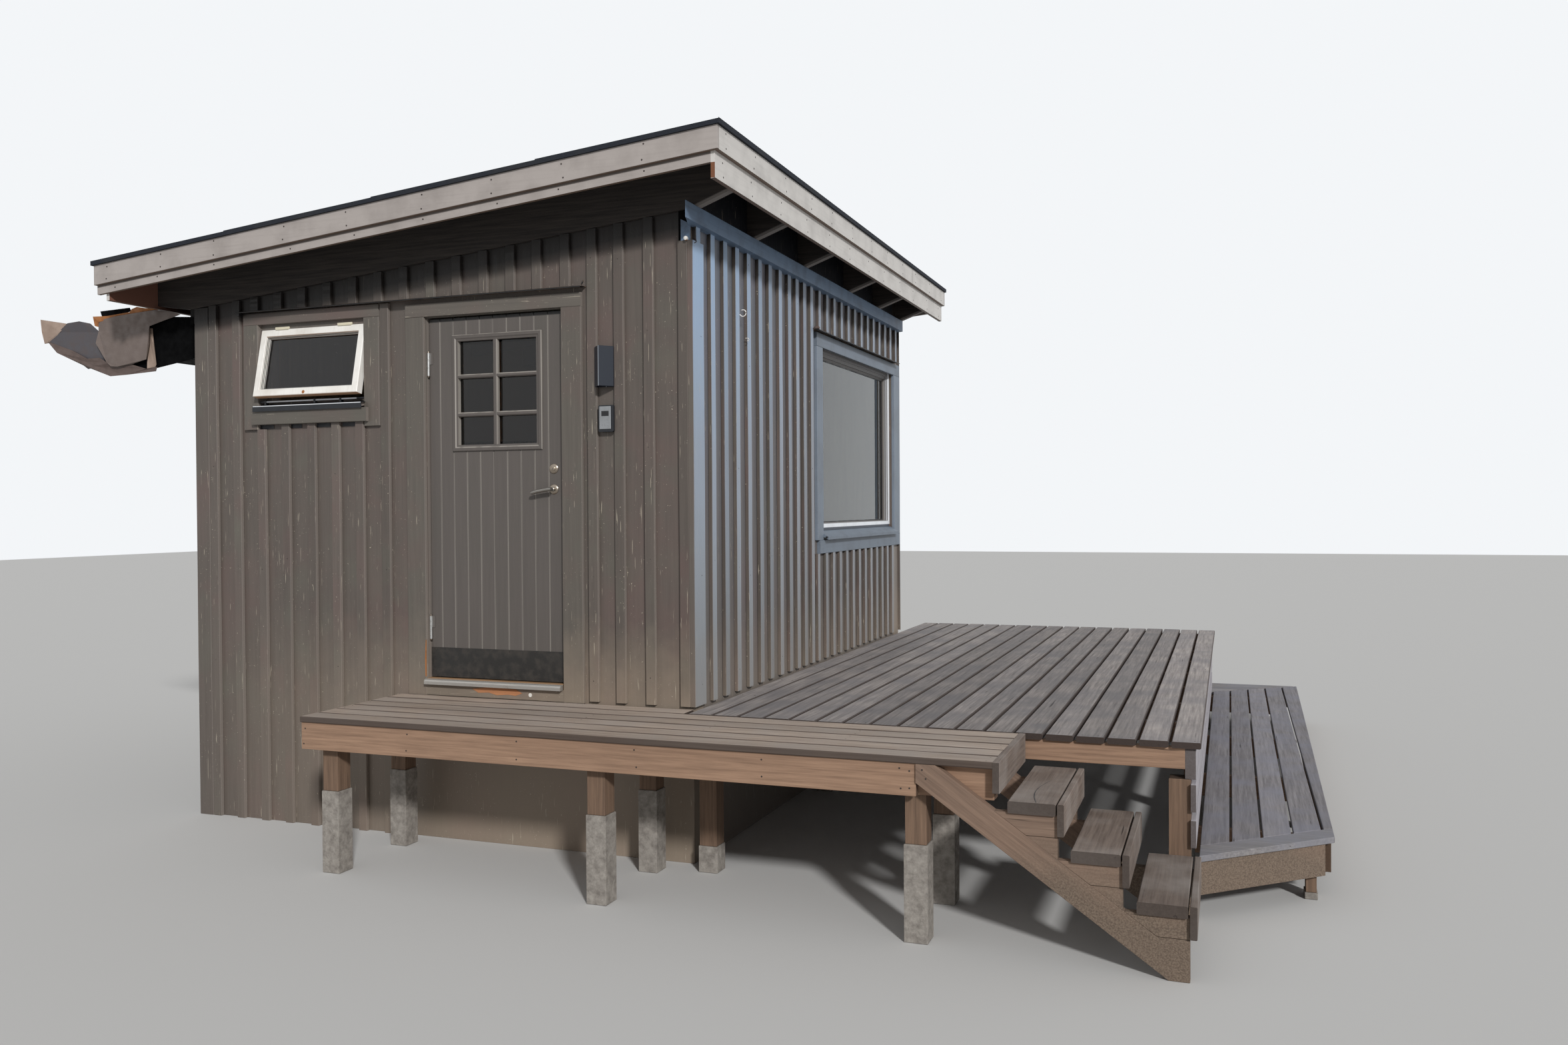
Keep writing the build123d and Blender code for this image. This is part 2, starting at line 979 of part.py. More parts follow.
for y in deck_post_ys:
    post(deck_post_right, y, post_side, fascia_low, deck_pier_height)
    post(inner_post, y, post_side, joist_low, deck_pier_height)

platform_post_x = platform_joist_right - platform_post_out
post(
    platform_post_x,
    platform_joist_first - post_side,
    platform_post_width,
    platform_low,
    platform_pier_height,
)
for y in platform_joist_ys[1:-1]:
    post(platform_post_x, y, platform_post_width, platform_joist_low, platform_pier_height)
for x in (platform_left, platform_post_x):
    post(
        x,
        platform_joist_last + joist_width - post_side,
        platform_post_width,
        platform_joist_low,
        platform_pier_height,
    )
parts["deck_posts"] = Compound(posts)
parts["post_piers"] = Compound(piers)


# Stair: treads with a nosing board on each, on two notched stringers
def tread_left(k):
    return first_tread_left + k * tread_run


def tread_top(k):
    return deck_top - first_tread_drop - k * tread_rise


steps = range(tread_count)

def tread(k):
    """A tread with the board on edge along its front."""
    left = tread_left(k)
    nosing = left + tread_depth
    top = tread_top(k)
    board = block(left, nosing, -stair_front, -stair_back, top - tread_thickness, top)
    return board + block(
        nosing, nosing + nosing_thickness, -stair_front, -stair_back, top - nosing_height, top
    )


parts["stair_treads"] = Compound([tread(k) for k in steps])


def stringer(y_low):
    """A notched board that carries the treads, from the walkway down to the ground."""
    seats = [tread_top(k) - tread_thickness for k in steps]
    risers = [tread_left(k) + tread_depth for k in steps]
    slope = tan(radians(stringer_pitch))
    top = board_low
    low = top - stringer_height
    shoulder = stringer_left + stringer_shoulder
    outline = [
        (stringer_left, low),
        (stringer_left, top),
        (shoulder, top),
        (shoulder + (top - seats[0]) / slope, seats[0]),
    ]
    for k in steps:
        outline.append((risers[k], seats[k]))
        outline.append((risers[k], seats[k + 1] if k + 1 < tread_count else 0))
    outline.append((stringer_left + low / slope, 0))
    return across(outline, y_low, y_low + stringer_thickness)


parts["stair_stringers"] = Compound(
    [stringer(stair_face), stringer(-stair_back - stringer_back_inset - stringer_thickness)]
)

# Dark box on the left wall, stepped under the low eave's plate, with a bent and damaged sheet on its front
box_left = -cabin_width - box_reach
box_z = roof_z(left_plane, rafter_drop + plate_height) - box_under_plate
box_shoulder = -cabin_width - plate_reach - box_under_plate
parts["eave_box"] = block(box_left, left_plane, 0, box_depth, box_z - box_height, box_z) + block(
    box_left, box_shoulder, 0, box_depth, box_z, box_z + box_rise
)
sheet_outline = [
    (937, 52),
    (707, 34),
    (513, 32),
    (458, 52),
    (161, 52),
    (-187, 42),
    (-83, 24),
    (37, 10),
    (6, -222),
    (-21, -272),
    (410, -257),
    (761, -122),
    (925, -56),
]
parts["bent_sheet"] = across(
    [(box_left - out, box_z + up) for out, up in sheet_outline], -sheet_thickness, 0
)

# The origin is the middle of the whole cabin's box, at ground level
whole = Compound(list(parts.values())).bounding_box()
shift = Location((-(whole.min.X + whole.max.X) / 2, -(whole.min.Y + whole.max.Y) / 2, 0))

os.makedirs("parts", exist_ok=True)
for name, shape in parts.items():
    export_step(shape.moved(shift), f"parts/{name}.step")
print("shift", shift.position, "size", whole.size)
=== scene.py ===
import random
from math import cos, pi, radians, sin

import bmesh
import bpy
from mathutils import Matrix, Vector


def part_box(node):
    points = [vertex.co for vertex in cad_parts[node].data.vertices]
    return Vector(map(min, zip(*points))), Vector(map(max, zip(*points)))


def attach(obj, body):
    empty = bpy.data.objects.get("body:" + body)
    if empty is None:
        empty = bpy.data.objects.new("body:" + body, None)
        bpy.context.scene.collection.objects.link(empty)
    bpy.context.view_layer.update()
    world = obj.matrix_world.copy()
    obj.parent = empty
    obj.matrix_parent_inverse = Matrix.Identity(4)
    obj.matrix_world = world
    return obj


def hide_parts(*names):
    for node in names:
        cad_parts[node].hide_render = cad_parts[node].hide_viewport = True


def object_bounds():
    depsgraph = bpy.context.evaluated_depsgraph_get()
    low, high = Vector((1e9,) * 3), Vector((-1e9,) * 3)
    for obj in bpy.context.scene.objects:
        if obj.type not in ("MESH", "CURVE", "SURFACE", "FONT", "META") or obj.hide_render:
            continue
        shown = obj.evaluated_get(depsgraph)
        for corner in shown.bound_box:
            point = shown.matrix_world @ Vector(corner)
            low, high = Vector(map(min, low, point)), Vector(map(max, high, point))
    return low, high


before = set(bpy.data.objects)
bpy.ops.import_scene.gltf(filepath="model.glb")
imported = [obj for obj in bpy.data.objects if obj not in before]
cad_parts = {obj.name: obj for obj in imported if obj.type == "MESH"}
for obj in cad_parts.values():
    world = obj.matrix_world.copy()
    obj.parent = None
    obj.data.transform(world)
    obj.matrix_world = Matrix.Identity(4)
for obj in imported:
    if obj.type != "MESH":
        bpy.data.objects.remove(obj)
cad_low, cad_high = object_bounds()
draw = random.Random(11)

# Every place below is measured in metres from the cabin's front right corner at deck level
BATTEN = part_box("front_wall_right")[0].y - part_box("door_trim")[0].y
CORNER = Vector(
    (
        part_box("window_wall")[1].x + BATTEN,
        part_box("door_trim")[0].y,
        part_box("main_deck_boards")[1].z,
    )
)


def box(node):
    """Lowest and highest corner of a node, measured from the cabin's corner."""
    low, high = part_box(node)
    return low - CORNER, high - CORNER


GROUND = cad_low.z - CORNER.z
WIDTH = -(box("left_wall")[0].x - BATTEN)
DEPTH = box("back_wall")[1].y + BATTEN
ROOM_LOW, ROOM_HIGH = box("floor")

# The roof's slope and its layers, measured down from the top of the upper fascia
FELT_THICKNESS = 0.025
FELT_LOW, FELT_HIGH = box("roof_felt")
SLOPE = (FELT_HIGH.z - FELT_LOW.z - FELT_THICKNESS) / (FELT_HIGH.x - FELT_LOW.x)
RAFTER_DROP = 0.242
PLATE_DROP = 0.327

# Chamfer and bend of the trim boards, and the gap under a head board
TRIM_EDGE, TRIM_PLAY, HEAD_GAP = 0.0018, 0.0004, 0.0008

# Places that materials and pieces share
LEAF_LOW, LEAF_HIGH = box("door_leaf")
GROOVE_FIRST, GROOVE_PITCH, GROOVES = 0.069, 0.084, 9
CAP_LOW, CAP_HIGH = box("drip_caps")
LARGE_HIGH = box("big_window_frame")[1]


def roof_height(x, drop=0.0):
    """Height over the deck of a layer of the roof."""
    return FELT_HIGH.z - FELT_THICKNESS - SLOPE * (FELT_HIGH.x - x) - drop


# Meshes
def wobble(amount):
    return draw.uniform(-amount, amount)


def cut(outline, start, end):
    """The part of a flat outline that lies left of the line from start to end."""
    run = (end[0] - start[0], end[1] - start[1])
    kept = []
    for k, here in enumerate(outline):
        there = outline[(k + 1) % len(outline)]
        a = run[0] * (here[1] - start[1]) - run[1] * (here[0] - start[0])
        b = run[0] * (there[1] - start[1]) - run[1] * (there[0] - start[0])
        if a >= 0:
            kept.append(here)
        if (a < 0) != (b < 0):
            share = a / (a - b)
            kept.append((here[0] + share * (there[0] - here[0]), here[1] + share * (there[1] - here[1])))
    return kept


def spot(axis, along, pair):
    """A point from its place along an axis and its two other coordinates in order."""
    point = Vector((0, 0, 0))
    first, second = [i for i in range(3) if i != axis]
    point[axis], point[first], point[second] = along, pair[0], pair[1]
    return point


def circle(centre, turn, radius, sides, flat=1.0, reach=0):
    """Points round a centre, moved on by a reach; turn carries Z to the way that they face."""
    angles = [2 * pi * i / sides for i in range(sides)]
    return [Vector(centre) + turn @ Vector((radius * cos(a), radius * flat * sin(a), reach)) for a in angles]


class Build:
    """Collects closed solids, each with a tone from -0.5 to 0.5, into one mesh."""

    def __init__(self):
        self.points, self.faces, self.tones = [], [], []

    def add(self, rings, tone):
        start = len(self.points)
        self.points += [Vector(p) for ring in rings for p in ring]
        tone = wobble(0.5) if tone is None else tone
        self.tones += [tone] * (len(self.points) - start)
        return start, len(rings[0])

    def join(self, first, second, count):
        for i in range(count):
            j = (i + 1) % count
            self.faces.append([first + i, first + j, second + j, second + i])

    def tube(self, rings, tone=None):
        """A solid through rings of points, closed at both ends."""
        start, count = self.add(rings, tone)
        last = start + count * (len(rings) - 1)
        self.faces.append([start + i for i in reversed(range(count))])
        self.faces.append([last + i for i in range(count)])
        for first in range(start, last, count):
            self.join(first, first + count, count)
        return self

    def ring(self, low, high, axis, profile, foot=1.0, tone=None):
        """A mitred frame across an axis; the profile holds (inset, place along the axis)."""
        first, second = [i for i in range(3) if i != axis]
        rings = []
        for right, top in ((0, 0), (1, 0), (1, 1), (0, 1)):
            points = []
            for inset, along in profile:
                u = high[first] - inset if right else low[first] + inset
                v = high[second] - inset if top else low[second] + inset * foot
                points.append(spot(axis, along, (u, v)))
            rings.append(points)
        start, count = self.add(rings, tone)
        for k in range(4):
            self.join(start + k * count, start + (k + 1) % 4 * count, count)
        return self

    def prism(self, outline, axis, low, high, tone=None):
        """A flat outline carried along an axis."""
        return self.tube([[spot(axis, along, pair) for pair in outline] for along in (low, high)], tone)

    def plank(self, low, high, axis, chamfer=0.0015, parts=1, play=0.0, tone=None):
        """A board with chamfered edges along an axis, bent a little between its ends."""
        u, v = [i for i in range(3) if i != axis]
        c = chamfer
        rings = []
        for k in range(parts + 1):
            du, dv = wobble(play), wobble(play)
            u0, u1, v0, v1 = low[u] + du, high[u] + du, low[v] + dv, high[v] + dv
            along = low[axis] + (high[axis] - low[axis]) * k / parts
            outline = [
                (u0 + c, v0), (u1 - c, v0), (u1, v0 + c), (u1, v1 - c), (u1 - c, v1), (u0 + c, v1),
                (u0, v1 - c), (u0, v0 + c),
            ]
            rings.append([spot(axis, along, pair) for pair in outline])
        return self.tube(rings, tone)

    def board(self, low, high, axis, parts):
        """A board of the trim round an opening."""
        return self.plank(low, high, axis, TRIM_EDGE, parts, TRIM_PLAY)

    def turned(self, start, axis, profile, sides=20, tone=0.0):
        """A lathe shape; the profile holds (distance along the axis, radius)."""
        turn = Vector(axis).to_track_quat("Z", "Y")
        return self.tube([circle(start, turn, radius, sides, reach=reach) for reach, radius in profile], tone)

    def swept(self, path, radii, sides=12, flat=1.0, tone=0.0):
        """A round or flattened bar along a list of points."""
        rings = []
        for k, point in enumerate(path):
            before, after = Vector(path[max(k - 1, 0)]), Vector(path[min(k + 1, len(path) - 1)])
            turn = (after - before).to_track_quat("Z", "Y")
            radius = radii[min(k, len(radii) - 1)]
            rings.append(circle(point, turn, radius, sides, flat))
        return self.tube(rings, tone)

    def dots(self, places, axis, radius=0.0035, reach=0.0012):
        """Small round heads that stand on a face; axis is the way they look out."""
        way = Vector(axis)
        for place in places:
            start = Vector(place) - way * 0.001
            self.turned(
                start, axis, [(0, radius), (0.001 + reach * 0.6, radius), (0.001 + reach, radius * 0.6)], 8
            )

    def turn(self, matrix):
        """Turns and moves all that was collected so far."""
        self.points = [matrix @ p for p in self.points]
        return self

    def make(self, name, material, body="cabin", replaces=(), smooth=False, bevel=0.0, slot=None):
        """Turns what was collected into a piece that rides on a body."""
        mesh = bpy.data.meshes.new(name)
        mesh.from_pydata([tuple(p + CORNER) for p in self.points], [], self.faces)
        attribute = mesh.attributes.new("tone", "FLOAT", "POINT")
        attribute.data.foreach_set("value", self.tones)
        tidy = bmesh.new()
        tidy.from_mesh(mesh)
        bmesh.ops.recalc_face_normals(tidy, faces=tidy.faces)
        tidy.to_mesh(mesh)
        tidy.free()
        mesh.materials.append(material)
        piece = bpy.data.objects.new(name, mesh)
        bpy.context.scene.collection.objects.link(piece)
        if smooth:
            mesh.polygons.foreach_set("use_smooth", [True] * len(mesh.polygons))
            mesh.set_sharp_from_angle(angle=radians(40))
        if bevel:
            edge = piece.modifiers.new("edge", "BEVEL")
            edge.width, edge.segments, edge.limit_method = bevel, 2, "ANGLE"
        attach(piece, body)
        if replaces:
            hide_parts(*replaces)


# Materials: a colour is (red, green, blue) as a screen shows it; a fourth number is a share of its light
STEP_SLOPE = radians(34.8)
STRETCH = {"X": (0.04, 1, 1), "Y": (1, 0.04, 1), "Z": (1, 1, 0.04), "S": (0.04, 1, 1)}


def paint(red, green, blue, share=1.0):
    """The light of a colour."""
    values = []
    for value in (red, green, blue):
        level = value / 255
        values.append(share * (level / 12.92 if level <= 0.04045 else ((level + 0.055) / 1.055) ** 2.4))
    return (*values, 1.0)


class Look:
    """A node material under construction, with the colour it has so far."""

    def __init__(self, name, roughness=0.6, metallic=0.0, specular=0.5):
        self.material = bpy.data.materials.new(name)
        self.material.use_nodes = True
        self.tree = self.material.node_tree
        self.surface = self.tree.nodes["Principled BSDF"]
        self.surface.inputs["Roughness"].default_value = roughness
        self.surface.inputs["Metallic"].default_value = metallic
        self.surface.inputs["Specular IOR Level"].default_value = specular
        self.place = self.node("TexCoord").outputs["Object"]
        self.tone = self.node("Attribute", attribute_name="tone").outputs["Fac"]

    def node(self, kind, links=(), **settings):
        """A node with its settings; links hold (socket, what goes into it)."""
        node = self.tree.nodes.new("ShaderNode" + kind)
        for name, value in settings.items():
            setattr(node, name, value)
        for socket, value in links:
            self.link(value, node.inputs[socket])
        return node

    def link(self, value, socket):
        if hasattr(value, "is_output"):
            self.tree.links.new(value, socket)
        else:
            socket.default_value = paint(*value) if isinstance(value, tuple) else value

    def math(self, operation, a, b=0.0, c=0.0):
        return self.node("Math", enumerate((a, b, c)), operation=operation).outputs[0]

    def mapped(self, along):
        """The frame's coordinates, drawn out along the grain of a board."""
        place = self.place
        if along == "S":
            turn = Vector((0, -STEP_SLOPE, 0))
            place = self.node("Mapping", (("Vector", place), ("Rotation", turn))).outputs[0]
        scale = Vector(STRETCH.get(along, (1, 1, 1)))
        return self.node("Mapping", (("Vector", place), ("Scale", scale))).outputs[0]

    def noise(self, scale, along="", detail=4, rough=0.55, seed=0.0):
        """Noise in the frame's metres, other for each board by its tone."""
        shift = self.math("MULTIPLY_ADD", self.tone, 40.0, seed)
        inputs = (("Scale", scale), ("Detail", detail), ("Roughness", rough), ("W", shift))
        inputs += (("Vector", self.mapped(along)),)
        return self.node("TexNoise", inputs, noise_dimensions="4D").outputs["Fac"]

    def span(self, value, low, high, share=1.0):
        """0 below low and share above high, straight between them; low may be the larger."""
        inputs = (("Value", value), ("From Min", low), ("From Max", high), ("To Max", share))
        return self.node("MapRange", inputs).outputs["Result"]

    def mix(self, share, a, b):
        return self.node("Mix", ((0, share), (6, a), (7, b)), data_type="RGBA").outputs[2]

    def over(self, share, color):
        """Lays a colour over the present one."""
        self.color = self.mix(share, self.color, color)

    def layer(self, value, low, high, color, share=1.0):
        """Lays a colour over the present one where a value goes from low to high."""
        self.over(self.span(value, low, high, share), color)

    def at(self, letter, away=0.0):
        """Distance along an axis, from the cabin's corner or from a place beside it."""
        place = self.node("SeparateXYZ", ((0, self.place),)).outputs[letter]
        return self.math("SUBTRACT", place, CORNER["XYZ".index(letter)] + away)

    def facing(self, letter):
        normal = self.node("NewGeometry").outputs["Normal"]
        return self.node("SeparateXYZ", ((0, normal),)).outputs[letter]

    def drop(self):
        """Depth below the roof's slope."""
        top = self.math("MULTIPLY_ADD", self.at("X"), SLOPE, roof_height(0))
        return self.math("SUBTRACT", top, self.at("Z"))

    def inside(self):
        """1 inside the room and 0 outside it."""
        share = 1.0
        for letter, low, high in (("X", ROOM_LOW.x, ROOM_HIGH.x), ("Y", ROOM_LOW.y, ROOM_HIGH.y)):
            place = self.at(letter)
            for operation, edge in (("GREATER_THAN", low - 0.002), ("LESS_THAN", high + 0.002)):
                share = self.math("MULTIPLY", share, self.math(operation, place, edge))
        return share

    def shade(self, color, low, high):
        """The colour made darker or lighter for each board."""
        level = self.math("MULTIPLY_ADD", self.tone, high - low, (low + high) / 2)
        return self.node("VectorMath", ((0, color), ("Scale", level)), operation="SCALE").outputs[0]

    def bump(self, height, distance):
        node = self.node("Bump", (("Distance", distance), ("Height", height)))
        self.link(node.outputs[0], self.surface.inputs["Normal"])

    def done(self, roughness=None):
        self.link(self.color, self.surface.inputs["Base Color"])
        if roughness is not None:
            self.link(roughness, self.surface.inputs["Roughness"])
        return self.material


def siding(name, board, bleach_and_sheen=0.0, specks=1.0, along="Z", eave=False):
    """Old paint: streaks, pale specks and dust low down. Faces looking +X get painted light: on the tall wall
    a pale bluish tone, partly bleached paint and partly painted sky reflection, elsewhere a painted
    highlight. Painted shadow darkens the paint under the eave, and on the tall wall the strip above the
    plate.
    """
    look = Look(name, specular=0.35)
    streaks = look.noise(60, along, 6, 0.6)
    look.color = look.mix(look.span(streaks, 0.3, 0.7), (*board, 0.8), board)
    look.layer(look.noise(2.2, detail=3, seed=3.0), 0.5, 0.72, (106, 86, 82), 0.6)
    look.layer(look.noise(3.1, detail=3, seed=9.0), 0.52, 0.75, (98, 98, 88), 0.5)
    look.color = look.shade(look.color, 0.86, 1.1)
    height = look.at("Z")
    level = look.math("MULTIPLY_ADD", look.noise(8, seed=6.0), 0.35, height)
    side = look.facing("X")
    if bleach_and_sheen:
        # Painted reflection, partly bleached paint: faces looking +X turn pale and bluish, more so higher up,
        # standing in for the sky's sheen.
        pale = look.mix(look.span(level, 0.5, 1.3), (136, 140, 144), (142, 152, 166))
        pale = look.mix(look.span(level, 1.4, 2.4), pale, (146, 169, 196))
        pale = look.mix(look.span(look.at("Y"), 0.1, 1.9, 0.6), pale, (134, 134, 136))
        look.layer(side, 0.6, 0.9, look.shade(pale, 0.88, 1.12), bleach_and_sheen)
    else:
        # Painted highlight: faces looking +X made paler, where the light catches the batten edges.
        look.layer(side, 0.6, 0.9, (148, 139, 132), 0.62)
    if eave:
        # Painted shade: the wall between the plate and the rafters made near black, as in the eave's shade.
        look.layer(height, roof_height(0, PLATE_DROP), roof_height(0, RAFTER_DROP), (30, 32, 38))
    across = look.span(look.at("X"), -3.2, -1.0, 0.3 if bleach_and_sheen else 0.6)
    look.over(look.math("MULTIPLY", look.span(level, 0.62, 0.10), across), (160, 144, 126))
    grit = look.span(look.noise(190, along, 2, 0.5, 5.0), 0.68, 0.71)
    chips = look.span(look.noise(120, "", 2, 0.5, 15.0), 0.70, 0.72)
    where = look.span(look.noise(4, detail=3, seed=7.0), 0.40, 0.56, 0.85 * specks)
    look.over(look.math("MULTIPLY", look.math("MAXIMUM", grit, chips), where), (186, 176, 158))
    # Painted shadow: the paint below the roof darkened to near black where the eave's shadow falls; on the
    # tall wall only on faces looking -Y.
    front = look.span(look.facing("Y"), -0.5, -0.8, 0.84) if bleach_and_sheen else 0.9
    look.over(look.math("MULTIPLY", front, look.span(look.drop(), 0.40, 0.32)), (14, 12, 12))
    lining = look.mix(look.span(streaks, 0.3, 0.7), (150, 122, 92), (176, 148, 114))
    look.over(look.inside(), lining)
    look.bump(streaks, 0.0009)
    return look.done(look.span(streaks, -0.6, 1.9))


def door_coat(name, grooves):
    """Even dark paint, pale along the boards' grooves or along the upper and right edges, partly wear and
    dust and partly painted highlight; a painted shadow along the top of the leaf.
    """
    look = Look(name, specular=0.35)
    streaks = look.noise(60, "Z", 6, 0.6)
    look.color = look.mix(look.span(streaks, 0.3, 0.75), (*DOOR_COLOR, 0.86), DOOR_COLOR)
    look.layer(look.noise(2.5, seed=3.0), 0.5, 0.75, (82, 81, 74), 0.3)
    look.color = look.shade(look.color, 0.94, 1.06)
    # Pale lines beside the grooves, or on faces looking up and right: partly wear and dust, partly painted
    # highlight.
    if grooves:
        phase = look.math("DIVIDE", look.at("X", LEAF_LOW.x + GROOVE_FIRST), GROOVE_PITCH)
        phase = look.math("FRACT", phase)
        edge = look.math("MAXIMUM", look.span(phase, 0.068, 0.048), look.span(phase, 0.970, 0.982, 0.55))
    else:
        edge = look.span(look.math("MAXIMUM", look.facing("X"), look.facing("Z")), 0.3, 0.6, 0.9)
    worn = look.span(look.noise(14, "Z", seed=12.0), 0.28, 0.5)
    look.over(look.math("MULTIPLY", edge, worn), (160, 154, 146))
    # Painted shadow: a near-black band along the top of the leaf, under the head trim.
    look.layer(look.at("Z", LEAF_HIGH.z), -0.019, -0.014, (22, 20, 19))
    look.bump(streaks, 0.0006)
    return look.done(look.span(streaks, -0.6, 1.9))


def wood(name, dark, light, along, shade=(0.8, 1.14), grey=None, depth=0.0014, mud=0.0, sides=None, tip=None):
    """Weathered boards: long grain, dark streaks and cracks, darker ends, and a tone for each board."""
    look = Look(name, roughness=0.75, specular=0.3)
    grain = look.noise(85, along, 7, 0.65)
    blotch = look.noise(3.5, detail=5, seed=4.0)
    look.color = look.mix(look.span(grain, 0.3, 0.72), dark, light)
    look.layer(look.noise(9, along, seed=2.0), 0.5, 0.75, dark, 0.5)
    if grey:
        look.layer(blotch, 0.4, 0.64, grey, 0.7)
    crack = look.span(look.noise(45, along, 3, seed=8.0), 0.31, 0.27, 0.85)
    look.over(crack, (*dark, 0.3))
    look.color = look.shade(look.color, *shade)
    if along != "S":
        look.layer(look.math("ABSOLUTE", look.facing(along)), 0.7, 0.9, tip or (*dark, 0.4), 0.8)
    if sides:
        look.layer(look.math("ABSOLUTE", look.facing("Z")), 0.9, 0.75, sides, 0.85)
    if mud:
        splash = look.math("MULTIPLY_ADD", blotch, 0.5, look.at("Z", GROUND + mud))
        speck = look.mix(look.span(look.noise(160, seed=1.0), 0.4, 0.6), (88, 76, 66), (120, 106, 92))
        look.layer(splash, 0.25, 0, speck, 0.85)
    look.bump(look.math("SUBTRACT", grain, crack), depth)
    return look.done()


def coated(name, color, dirt, along="X", rough=0.5, amount=0.5, eaves=False, under=None, shadow_band=None):
    """Painted joinery: faint grain, and dirt in patches; along the eaves bare inside and below; a band under
    a board darkened as painted shadow.
    """
    look = Look(name, roughness=rough, specular=0.4)
    lines = look.noise(70, along, 6, 0.6)
    look.color = color
    look.layer(look.noise(6, detail=5, seed=3.0), 0.45, 0.75, dirt, amount)
    look.layer(lines, 0.5, 0.8, dirt, amount * 0.6)
    look.layer(look.noise(150, seed=6.0), 0.72, 0.76, (*dirt, 0.5), amount)
    look.bump(lines, 0.0005)
    look.color = look.shade(look.color, 0.93, 1.05)
    if eaves:
        away = look.math("MULTIPLY", look.at("X", -WIDTH / 2), -1.0)
        look.layer(look.math("MULTIPLY", look.facing("X"), away), 0.3, 0.6, (128, 90, 76))
    # Painted shadow: a dark band just below the upper board's edge.
    if shadow_band:
        start, end = shadow_band
        drop = look.drop()
        over, under_end = look.span(drop, start - 0.002, start), look.span(drop, end, end - 0.003, 0.75)
        look.over(look.math("MULTIPLY", over, under_end), (70, 60, 54))
    if under:
        look.layer(look.facing("Z"), -0.5, -0.8, under)
    return look.done()


def metal(name, color, rough, metallic=1.0, stain=None, amount=0.4, specular=0.5):
    """Metal or smooth coated sheet, with stains."""
    look = Look(name, metallic=metallic, specular=specular)
    patch = look.noise(18, detail=5, seed=1.0)
    look.color = color
    look.layer(patch, 0.45, 0.75, stain or (*color, 0.6), amount)
    look.bump(look.noise(160, detail=3), 0.0002)
    return look.done(look.span(patch, 0.0, 1.0, rough * 2))


def cap_material():
    """Black sheet metal, worn pale along its upper edge."""
    look = Look("cap_metal", roughness=0.5, metallic=0.1)
    edge = look.span(look.at("Z", CAP_HIGH.z), -0.008, -0.0055)
    look.color = (26, 24, 24)
    worn = look.span(look.noise(14, detail=5, seed=1.0), 0.40, 0.56, 0.8)
    look.over(look.math("MULTIPLY", worn, edge), (140, 118, 98))
    return look.done()


def lamp_material():
    """Blue-black coated sheet: the right facet a little lighter as painted light, and the ridge pale, partly
    wear and partly painted highlight.
    """
    look = Look("lamp_metal", roughness=0.5, specular=0.35)
    low, high = box("wall_lamp")
    look.color = (32, 35, 44)
    # Painted light: the facet looking right made a little lighter.
    look.layer(look.facing("X"), 0.2, 0.4, (36, 41, 50))
    # A pale line along the ridge: partly wear, partly painted highlight.
    look.layer(look.math("ABSOLUTE", look.at("X", (low.x + high.x) / 2)), 0.0022, 0.0016, (140, 146, 152))
    return look.done()


def rebate_material():
    """Stepped frame round the large pane: bands of white and grey towards the glass, partly the frame's paint
    and partly painted light and shade on the steps, darkest towards the glass; paler under the head as
    painted light.
    """
    look = Look("window_rebate", roughness=0.5, specular=0.35)
    lines = look.noise(70, "Z", 5)
    depth = look.math("MULTIPLY", look.at("X", LARGE_HIGH.x), -1.0)
    look.color = (224, 226, 230)
    # Bands by depth: the frame's white and grey paint, with painted light and shade on the steps, darkest
    # towards the glass.
    bands = ((0.012, (96, 94, 94)), (0.015, (182, 182, 182)), (0.021, (84, 80, 78)))
    for start, color in (*bands, (0.025, (138, 132, 126)), (0.031, (66, 60, 57))):
        look.over(look.math("GREATER_THAN", depth, start), color)
    look.layer(look.facing("X"), 0.5, 0.8, (92, 88, 86), 0.9)
    # Painted light: faces looking down made paler.
    look.layer(look.facing("Z"), -0.5, -0.8, (164, 164, 168), 0.6)
    look.layer(lines, 0.5, 0.75, (92, 86, 82), 0.3)
    look.bump(lines, 0.0005)
    return look.done()


def rafter_material():
    """Dark rafters with paler lower edges."""
    look = Look("rafter_wood", roughness=0.75, specular=0.3)
    grain = look.noise(85, "X", 6)
    look.color = look.mix(look.span(grain, 0.3, 0.72), (40, 37, 36), (68, 62, 58))
    taper = look.at("X", 0.03)
    bottom = look.math("MULTIPLY_ADD", taper, -0.265, RAFTER_DROP)
    over = look.math("SUBTRACT", bottom, look.drop())
    edge = look.math("MULTIPLY", look.span(over, 0.020, 0.012, 0.85), look.span(taper, -0.03, -0.01))
    look.over(edge, (138, 132, 128))
    look.bump(grain, 0.0012)
    return look.done()


def hinge_material():
    """Bright barrels on flaps painted like the door."""
    look = Look("hinge", roughness=0.4)
    flap = look.math("GREATER_THAN", look.math("ABSOLUTE", look.at("X", LEAF_LOW.x)), 0.0085)
    look.link(look.math("MULTIPLY_ADD", flap, -0.8, 0.8), look.surface.inputs["Metallic"])
    look.color = (190, 190, 188)
    look.layer(look.noise(60, detail=3), 0.5, 0.7, (120, 116, 110), 0.5)
    look.over(flap, DOOR_COLOR)
    return look.done()


def felt_material():
    """Roofing felt: black with mineral grains and paler worn spots."""
    look = Look("roofing_felt", roughness=0.85, specular=0.25)
    grains = look.noise(420, detail=2)
    look.color = look.mix(look.span(grains, 0.35, 0.7), (20, 23, 30), (50, 54, 62))
    look.layer(look.noise(4, detail=5, seed=2.0), 0.5, 0.8, (74, 72, 66), 0.4)
    look.bump(grains, 0.0012)
    return look.done()


